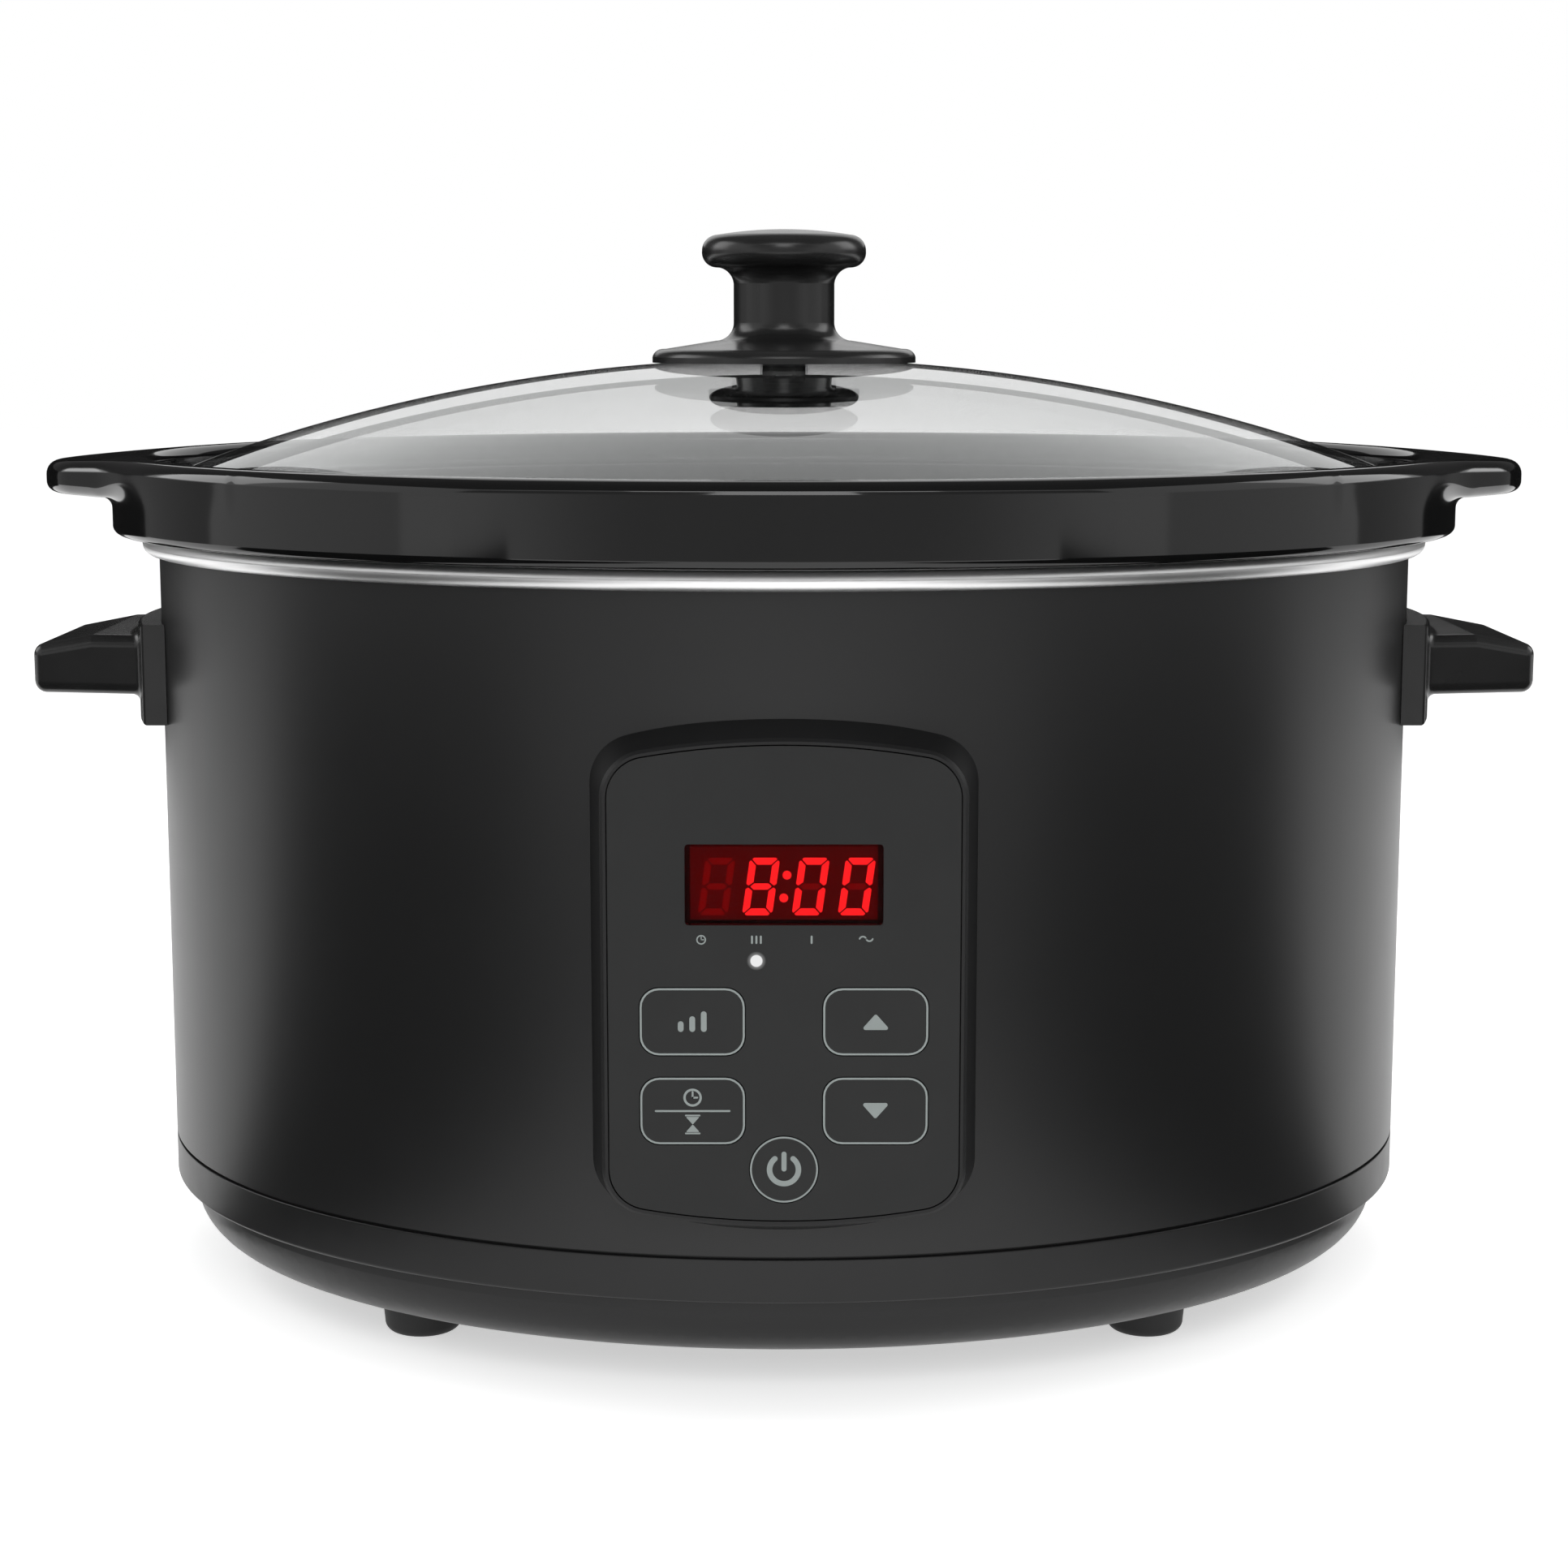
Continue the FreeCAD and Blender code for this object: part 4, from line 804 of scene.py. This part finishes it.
# %% Cast the crock
crock_low, crock_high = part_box("crock")
crock_top = crock_high.z / MM
crock_foot = crock_low.z / MM
collar_z = rim_z + 0.3
lug_thickness = 9.4
lug_droop = 1.5
top_round = 3.6
low_round = 1.8
under_round = 3.2
lug_low_round = 2.6
round_share = 0.45
droop_growth = 18.0
full_lug_growth = 6.0
floor_middle = -60.0
floor_top = crock_foot + 9
ledge_z = crock_top - 8.5
ledge_end = 1.6
inside = eased([(floor_middle, floor_top, 0), (-24.9, floor_top, 15.0), (-20.4, crock_top - 18.5, 4.0),
                (-10.4, ledge_z, 1.0), (ledge_end, ledge_z, 1.5), (ledge_end, crock_top, 2.6),
                (5.0, crock_top, 0)])[:-1]
outside = eased([(collar_reach, collar_z + 6, 0), (collar_reach, collar_z, low_round),
                 (-12.9, collar_z, 2.0), (-17.4, crock_foot, 15.0), (floor_middle, crock_foot, 0)])[1:]


def arc_points(x, z, radius, start, end, steps=10):
    """Points along a circle, from one angle to another, in degrees from +x towards +z."""
    turns = [math.radians(start + (end - start) * i / steps) for i in range(steps + 1)]
    return [(x + radius * math.cos(turn), z + radius * math.sin(turn)) for turn in turns]


def smooth_step(share):
    """A share from 0 to 1 that starts and ends gently."""
    return share * share * (3 - 2 * share)


def collar_side(growth, arc_parts=8):
    """The outer edge of the collar where its outline has grown by that much."""
    top = crock_top - lug_droop * min(1.0, growth / droop_growth)
    low = crock_top - lug_thickness
    reach = collar_reach + growth
    share = smooth_step(min(1.0, growth / full_lug_growth))
    edge = arc_points(reach - top_round, top - top_round, top_round, 90, 0, arc_parts)
    bend = min(lug_low_round, growth * round_share)
    hollow = min(under_round, growth * round_share)
    lug = arc_points(reach - bend, low + bend, bend, 0, -90, arc_parts)
    lug += arc_points(collar_reach + hollow, low - hollow, hollow, 90, 180, arc_parts)
    first, last = top - top_round, low - under_round
    side = []
    for i, (x, z) in enumerate(lug):
        way = (i + 1) / len(lug)
        plain_x = collar_reach + growth * (1 - smooth_step(way))
        plain_z = first + (last - first) * way
        side.append((plain_x + (x - plain_x) * share, plain_z + (z - plain_z) * share))
    return edge + side


def cast_crock(steps=720):
    """The crock as columns of section points, one for each step round the oval."""
    columns = []
    for i in range(steps):
        turn = 2 * math.pi * i / steps
        growth = lug_growth(turn)
        start, way = on_oval(collar_reach, 0.0, turn), outward(turn)
        column = []
        for x, z in inside + collar_side(growth) + outside:
            if x > collar_reach:
                column.append(start + way * (x - collar_reach) + Vector((0.0, 0.0, z)))
            else:
                column.append(on_oval(x, z, turn))
        columns.append(column)
    return skin(list(zip(*columns)), False)


settle(cast_crock(), "glazed_crock", "crock", "crock", "stoneware")

# %% [markdown]
# ## The glass lid
#
# Facets that pass unseen on a small moulding show at once on glass, where each mirrors the room
# by itself. So the lid is pressed again here: a shallow dome of even thickness, built as rings
# from the knob's hole to the rim and back underneath. Each ring is an oval, and only near the
# hole do the rings turn into circles. The two edges of the rim are rounded, as a cut and
# fire-polished edge is.

# %% Press the lid from rings
lid_low, lid_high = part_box("lid_glass")
lid_half_x = (lid_high.x - lid_low.x) / 2 / MM
lid_half_y = (lid_high.y - lid_low.y) / 2 / MM
glass_thickness = 4.0
glass_rise = 27.8
glass_edge_round = 1.4
glass_hole = 6.0
round_hole_end = 36.0
dome_radius = (lid_half_x ** 2 + glass_rise ** 2) / (2 * glass_rise)


def dome_drop(reach):
    """How far the dome has fallen at that distance from its middle, measured along x."""
    return dome_radius - math.sqrt(dome_radius ** 2 - reach ** 2)


dome_top = lid_high.z / MM + dome_drop(glass_hole)


def glass_rings(ring_count=28, edge_count=6):
    """Each ring of the lid as (distance along x, depth below the upper face)."""
    flat_end = lid_half_x - glass_edge_round
    reaches = [glass_hole + (flat_end - glass_hole) * i / ring_count for i in range(ring_count + 1)]
    edge = []
    for i in range(1, edge_count + 1):
        turn = math.pi / 2 * i / edge_count
        edge.append((flat_end + glass_edge_round * math.sin(turn),
                     glass_edge_round * (1 - math.cos(turn))))
    upper = [(reach, 0.0) for reach in reaches] + edge
    return upper + [(reach, glass_thickness - depth) for reach, depth in reversed(upper)]


def press_lid(steps=224):
    """The lid as rings of points, from the hole's upper edge round to its lower one."""
    rows = []
    for reach, depth in glass_rings():
        share = min(1.0, (reach - glass_hole) / (round_hole_end - glass_hole))
        squeeze = 1.0 + (lid_half_y / lid_half_x - 1.0) * share
        row = []
        for i in range(steps):
            turn = 2 * math.pi * i / steps
            x, y = reach * math.cos(turn), reach * squeeze * math.sin(turn)
            drop = dome_drop(math.hypot(x, y * lid_half_x / lid_half_y))
            row.append(Vector((x, y, dome_top - drop - depth)))
        rows.append(row)
    return skin(rows, True)


settle(press_lid(), "lid_dome", "lid", "lid_glass", "lid_clear")
print("top of the dome at", round(dome_top, 2), "mm")

# %% [markdown]
# ## Print on the panel
#
# The marks are silk-screened: a film of pale grey ink a few hundredths of a millimetre thick.
# A texture would blur up close, so each mark is a thin solid instead. We draw it as a flat
# outline in the panel's own x and z, in millimetres, and push it out to the ink's thickness.
# A mark on a key rides with that key, so it goes in when the key is pressed.

# %% Helpers that draw marks
ink_thickness = 0.04


def rounded_outline(corners, radius):
    """A closed outline whose corners are all rounded alike."""
    return eased([(x, z, radius) for x, z in corners], arc_parts=6, support=0.0)


def key_outline(x, z, half_x, half_z, radius):
    """Outline of an oblong with round corners."""
    corners = [(x - half_x, z - half_z), (x + half_x, z - half_z),
               (x + half_x, z + half_z), (x - half_x, z + half_z)]
    return rounded_outline(corners, radius)


def ring_outline(x, z, radius, width, steps):
    """A full ring as (outer, inner)."""
    end = 360 - 360 / (steps + 1)
    return (arc_points(x, z, radius, 0, end, steps), arc_points(x, z, radius - width, 0, end, steps))


def bar(x0, z0, x1, z1, width):
    """Outline of a straight line with round ends."""
    heading = math.degrees(math.atan2(z1 - z0, x1 - x0))
    ends = arc_points(x1, z1, width / 2, heading - 90, heading + 90)
    return ends + arc_points(x0, z0, width / 2, heading + 90, heading + 270)


def bent_bar(x, z, radius, width, start, end):
    """Outline of a line with round ends that follows a circle."""
    tip = arc_points(x, z, radius, end, end, 1)[0]
    tail = arc_points(x, z, radius, start, start, 1)[0]
    outer = arc_points(x, z, radius + width / 2, start, end, 40)
    inner = arc_points(x, z, radius - width / 2, end, start, 40)
    end_cap = arc_points(tip[0], tip[1], width / 2, end, end + 180)
    start_cap = arc_points(tail[0], tail[1], width / 2, start + 180, start + 360)
    return outer + end_cap[1:-1] + inner + start_cap[1:-1]


print("mark helpers ready, ink", ink_thickness, "mm")

# %% Helper that turns outlines into thin solids
def lay(name, outlines, front_y, thickness, finish, body, rings=()):
    """Thin solid of closed outlines, and of rings given as (outer, inner), standing off a face."""
    mesh = bmesh.new()
    for outline in outlines:
        mesh.faces.new([mesh.verts.new((x * MM, 0, z * MM)) for x, z in outline])
    for outer, inner in rings:
        far = [mesh.verts.new((x * MM, 0, z * MM)) for x, z in outer]
        near = [mesh.verts.new((x * MM, 0, z * MM)) for x, z in inner]
        for i in range(len(far)):
            mesh.faces.new((far[i - 1], far[i], near[i], near[i - 1]))
    pushed = bmesh.ops.extrude_face_region(mesh, geom=mesh.faces[:])
    moved = [part for part in pushed["geom"] if isinstance(part, bmesh.types.BMVert)]
    bmesh.ops.translate(mesh, verts=moved, vec=(0, -thickness * MM, 0))
    return as_piece(mesh, name, body, finish, front_y)


def print_on(name, outlines, body, rings=()):
    """Ink on the plate, or on a key, that rides with it."""
    lay(name, outlines, face_y, ink_thickness, ink, body, rings)


def middle_of(node):
    """Middle of a solid as seen from the front, in millimetres, with its half sizes."""
    low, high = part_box(node)
    return ((low.x + high.x) / 2 / MM, (low.z + high.z) / 2 / MM,
            (high.x - low.x) / 2 / MM, (high.z - low.z) / 2 / MM)


face_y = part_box("panel_plate")[0].y
ink = moulded("grey_ink", (0.255, 0.285, 0.278), 0.55, 0.3, 0.002)
print("panel face at y", round(face_y / MM, 2), "mm")

# %% [markdown]
# ## Key outlines
#
# Each key has a fine grey line just inside its edge. The flange that keeps the key from falling
# out is wider than its top, so the top's size is the solid's size less the flange.

# %% Outlines on the keys
line_width = 0.42
flange_reach = 1.2
key_corner = 4.2
square_keys = ("mode_key", "timer_key", "up_key", "down_key")
key_middles = {}
for key in square_keys:
    x, z, half_x, half_z = middle_of(key)
    key_middles[key] = (x, z)
    half_x -= flange_reach
    half_z -= flange_reach
    outer = key_outline(x, z, half_x, half_z, key_corner)
    inner = key_outline(x, z, half_x - line_width, half_z - line_width, key_corner - line_width)
    print_on(key + "_outline", [], key, [(outer, inner)])
print("key middles:", key_middles)

# %% [markdown]
# ## Signs on the keys
#
# Up and down are plain triangles with soft corners, and power is the broken ring with a bar.
# The mode key shows rising level bars. The timer key has a small clock over a line and an
# hourglass under it. All of them are common signs that need no words.

# %% Arrows and level bars
arrow_half = 3.15
arrow_height = 3.6
arrow_round = 0.42
for key, up in (("up_key", 1), ("down_key", -1)):
    x, z = key_middles[key]
    rise = up * arrow_height / 2
    corners = [(x - arrow_half, z - rise), (x + arrow_half, z - rise), (x, z + rise)]
    outline = rounded_outline(corners if up > 0 else corners[::-1], arrow_round)
    print_on(key + "_arrow", [outline], key)

level_pitch = 2.5
level_width = 1.25
level_foot = -1.6
level_tops = (-0.5, 0.6, 1.7)
x, z = key_middles["mode_key"]
levels = []
for i, level_top in enumerate(level_tops):
    level_x = x + (i - 1) * level_pitch
    levels.append(bar(level_x, z + level_foot, level_x, z + level_top, level_width))
print_on("mode_key_levels", levels, "mode_key")
print("arrows and level bars printed")

# %% Clock, line and hourglass on the timer key
def clock_face(x, z, radius, width):
    """A ring with two hands: the ring as (outer, inner) and the hands as outlines."""
    hand = 0.8 * width
    hands = [bar(x, z, x, z + 0.62 * radius, hand), bar(x, z, x + 0.5 * radius, z, hand)]
    return ring_outline(x, z, radius, width, 59), hands


x, z = key_middles["timer_key"]
divider_half = 8.0
icon_rise = 3.0
icon_radius = 2.0
clock_line = 0.5
ring, hands = clock_face(x, z + icon_rise, icon_radius, clock_line)
glass_top = z - icon_rise + icon_radius
glass_low = z - icon_rise - icon_radius
glass_half = 1.5
glass_gap = 0.3
glass_round = 0.12
glass_line = 0.36
waist = (x, z - icon_rise)
upper_glass = [waist, (x + glass_half, glass_top - glass_gap), (x - glass_half, glass_top - glass_gap)]
lower_glass = [waist, (x - glass_half, glass_low + glass_gap), (x + glass_half, glass_low + glass_gap)]
hourglass = [
    rounded_outline(upper_glass, glass_round),
    rounded_outline(lower_glass, glass_round),
    bar(x - glass_half, glass_top, x + glass_half, glass_top, glass_line),
    bar(x - glass_half, glass_low, x + glass_half, glass_low, glass_line),
]
divider = bar(x - divider_half, z, x + divider_half, z, line_width)
print_on("timer_key_signs", hands + hourglass + [divider], "timer_key", [ring])
print("timer signs printed at", (round(x, 2), round(z, 2)))

# %% Power sign
x, z, key_radius, _ = middle_of("power_key")
key_radius -= flange_reach
ring_line = 0.38
sign_radius = 3.15
sign_line = 1.2
gap_left, gap_right = 129, 411
stem_low, stem_top = 0.15, 3.5
stem_line = 1.1
print_on("power_key_outline", [], "power_key", [ring_outline(x, z, key_radius, ring_line, 119)])
power_ring = bent_bar(x, z, sign_radius, sign_line, gap_left, gap_right)
power_bar = bar(x, z + stem_low, x, z + stem_top, stem_line)
print_on("power_key_sign", [power_ring, power_bar], "power_key")
print("power sign printed, key radius", round(key_radius, 2), "mm")

# %% [markdown]
# ## Marks over the lamps
#
# Four small marks say what each lamp stands for: a waiting clock, three bars for high heat, one
# for low, and a wave for keeping warm. They are as tall as small print, under two millimetres.

# %% Lamp marks
lamp_low, lamp_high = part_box("indicator_lamps")
lamp_z = (lamp_low.z + lamp_high.z) / 2 / MM
lamp_span = (lamp_high.x - lamp_low.x) / MM - (lamp_high.z - lamp_low.z) / MM
lamp_places = [(-0.5 + i / 3) * lamp_span for i in range(4)]
mark_z = 109.4
stroke_half = 0.7
stroke_pitch = 0.95
stroke_width = 0.42
small_radius = 1.05
small_line = 0.28
small_ring, small_hands = clock_face(lamp_places[0], mark_z, small_radius, small_line)


def small_bars(x, count):
    """That many short upright strokes, side by side."""
    places = [x + (i - (count - 1) / 2) * stroke_pitch for i in range(count)]
    return [bar(place, mark_z - stroke_half, place, mark_z + stroke_half, stroke_width)
            for place in places]


wave_radius = 0.75
wave_width = 0.34
wave = [bent_bar(lamp_places[3] - 0.85, mark_z - 0.05, wave_radius, wave_width, 20, 160),
        bent_bar(lamp_places[3] + 0.55, mark_z + 0.45, wave_radius, wave_width, 200, 340)]
marks = small_hands + small_bars(lamp_places[1], 3) + small_bars(lamp_places[2], 1) + wave
print_on("lamp_marks", marks, "cooker", [small_ring])
print("lamp places:", [round(place, 2) for place in lamp_places])

# %% [markdown]
# ## The lit lamp
#
# One lamp is on. It shines through the film, so we see a small white disc with a soft edge and
# none of the others. A gradient from the lamp's middle fades the light into the film's own
# colour, which gives the halo without any trick of the camera.

# %% Glow through the film
glow_radius = 2.1
core_share = 0.58
core_light = 0.80
halo_share = 0.08
halo_light = 0.16


def film_glow():
    """Film that is lit from behind in a spot."""
    finish, tree, shader = new_finish("lamp_glow", 0.55, specular=0.3)
    vary_colour(tree, shader, grain(tree, 12.0), film_shade, (0.016, 0.0167, 0.0167))
    length = add_node(tree, "ShaderNodeVectorMath", operation="LENGTH")
    fade = add_node(tree, "ShaderNodeValToRGB")
    away = add_node(tree, "ShaderNodeMath", operation="DIVIDE")
    fill(away, {1: glow_radius * MM})
    stops = fade.color_ramp.elements
    stops[0].position = core_share
    stops[0].color = (core_light, core_light, core_light, 1.0)
    stops[1].color = (0.0, 0.0, 0.0, 1.0)
    halo = stops.new(core_share + halo_share)
    halo.color = (halo_light, halo_light, halo_light, 1.0)
    fill(shader, {"Emission Strength": 1.0})
    give_place(tree, length.inputs[0])
    tree.links.new(length.outputs["Value"], away.inputs[0])
    tree.links.new(away.outputs[0], fade.inputs["Fac"])
    tree.links.new(fade.outputs["Color"], shader.inputs["Emission Color"])
    return finish


disc = arc_points(0, 0, glow_radius, 0, 354, 59)
lamp_light = lay("lit_lamp", [disc], 0.0, ink_thickness / 2, film_glow(), "cooker")
lamp_light.location = (lamp_places[1] * MM, face_y, lamp_z * MM)
print("lit lamp at", [round(value / MM, 2) for value in lamp_light.location])

# %% [markdown]
# ## Digits
#
# Each digit is seven bars that lean eight degrees. The bars have mitred ends with a small gap
# where two of them meet, so one function can make all seven from the digit's height, width and
# bar width. Eight hours are shown and the first digit is off, yet its bars can still be made
# out as dark red, as on a real display; here that dark red is a faint painted glow given to
# every unlit bar.

# %% Draw seven-bar digits
digit_height = 12.6
digit_width = 6.5
bar_width = 1.5
bar_gap = 0.24
lean = math.tan(math.radians(8))
digit_z = 120.65
digit_places = (-14.54, -4.95, 5.77, 15.70)


def segment(name):
    """Outline of one bar of an upright digit about its own middle."""
    left, top_z, thick, gap = -digit_width / 2, digit_height / 2, bar_width, bar_gap
    cut = 0.45 * thick
    half_top = [(left + gap + cut, top_z), (left + gap + 0.5 * cut, top_z - 0.5 * cut),
                (left + thick + gap, top_z - thick)]
    top = half_top + [(-x, z) for x, z in reversed(half_top)]
    side = [(left, top_z - cut - gap), (left, 0.25 * thick + gap), (left + 0.35 * thick, gap),
            (left + thick, 0.5 * thick + gap), (left + thick, top_z - thick - gap),
            (left + 0.5 * cut, top_z - 0.5 * cut - gap)]
    tip, shoulder = left + 0.5 * thick + gap, left + thick + gap
    middle = [(tip, 0), (shoulder, cut), (-shoulder, cut),
              (-tip, 0), (-shoulder, -cut), (shoulder, -cut)]
    shapes = {
        "top": top,
        "low": [(x, -z) for x, z in top],
        "upper_left": side,
        "upper_right": [(-x, z) for x, z in side],
        "lower_left": [(x, -z) for x, z in side],
        "lower_right": [(-x, -z) for x, z in side],
        "middle": middle,
    }
    return shapes[name]


def leaning(outline, place):
    """The outline at its place in the display, leaning like the rest."""
    return [(place + x + lean * z, digit_z + z) for x, z in outline]


every_bar = ("top", "upper_left", "upper_right", "middle", "lower_left", "lower_right", "low")
lit_bars = {"8": every_bar, "0": tuple(name for name in every_bar if name != "middle"), " ": ()}
lit, unlit = [], []
for digit, place in zip(" 800", digit_places):
    for name in every_bar:
        group = lit if name in lit_bars[digit] else unlit
        group.append(leaning(segment(name), place))
dot_radius = 0.95
dot_x = 0.3
dot_rise = 2.5
colon = [arc_points(lean * rise + dot_x, digit_z + rise, dot_radius, 0, 340, 17)
         for rise in (dot_rise, -dot_rise)]
display_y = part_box("led_display")[0].y
lit_red = glowing("lit_bars", (0.5, 0.03, 0.03), (1.0, 0.32, 0.28), 1.9)
# Unlit bars get a faint painted glow, though they are not lit.
unlit_painted_glow = glowing("dark_bars_painted_glow", (0.10, 0.02, 0.02), (1.0, 0.06, 0.08), 0.15)
bar_depth = 0.1
lay("lit_digits", lit + colon, display_y, bar_depth, lit_red, "cooker")
lay("dark_digits", unlit, display_y, bar_depth, unlit_painted_glow, "cooker")
print("bars lit:", len(lit), "dark:", len(unlit))
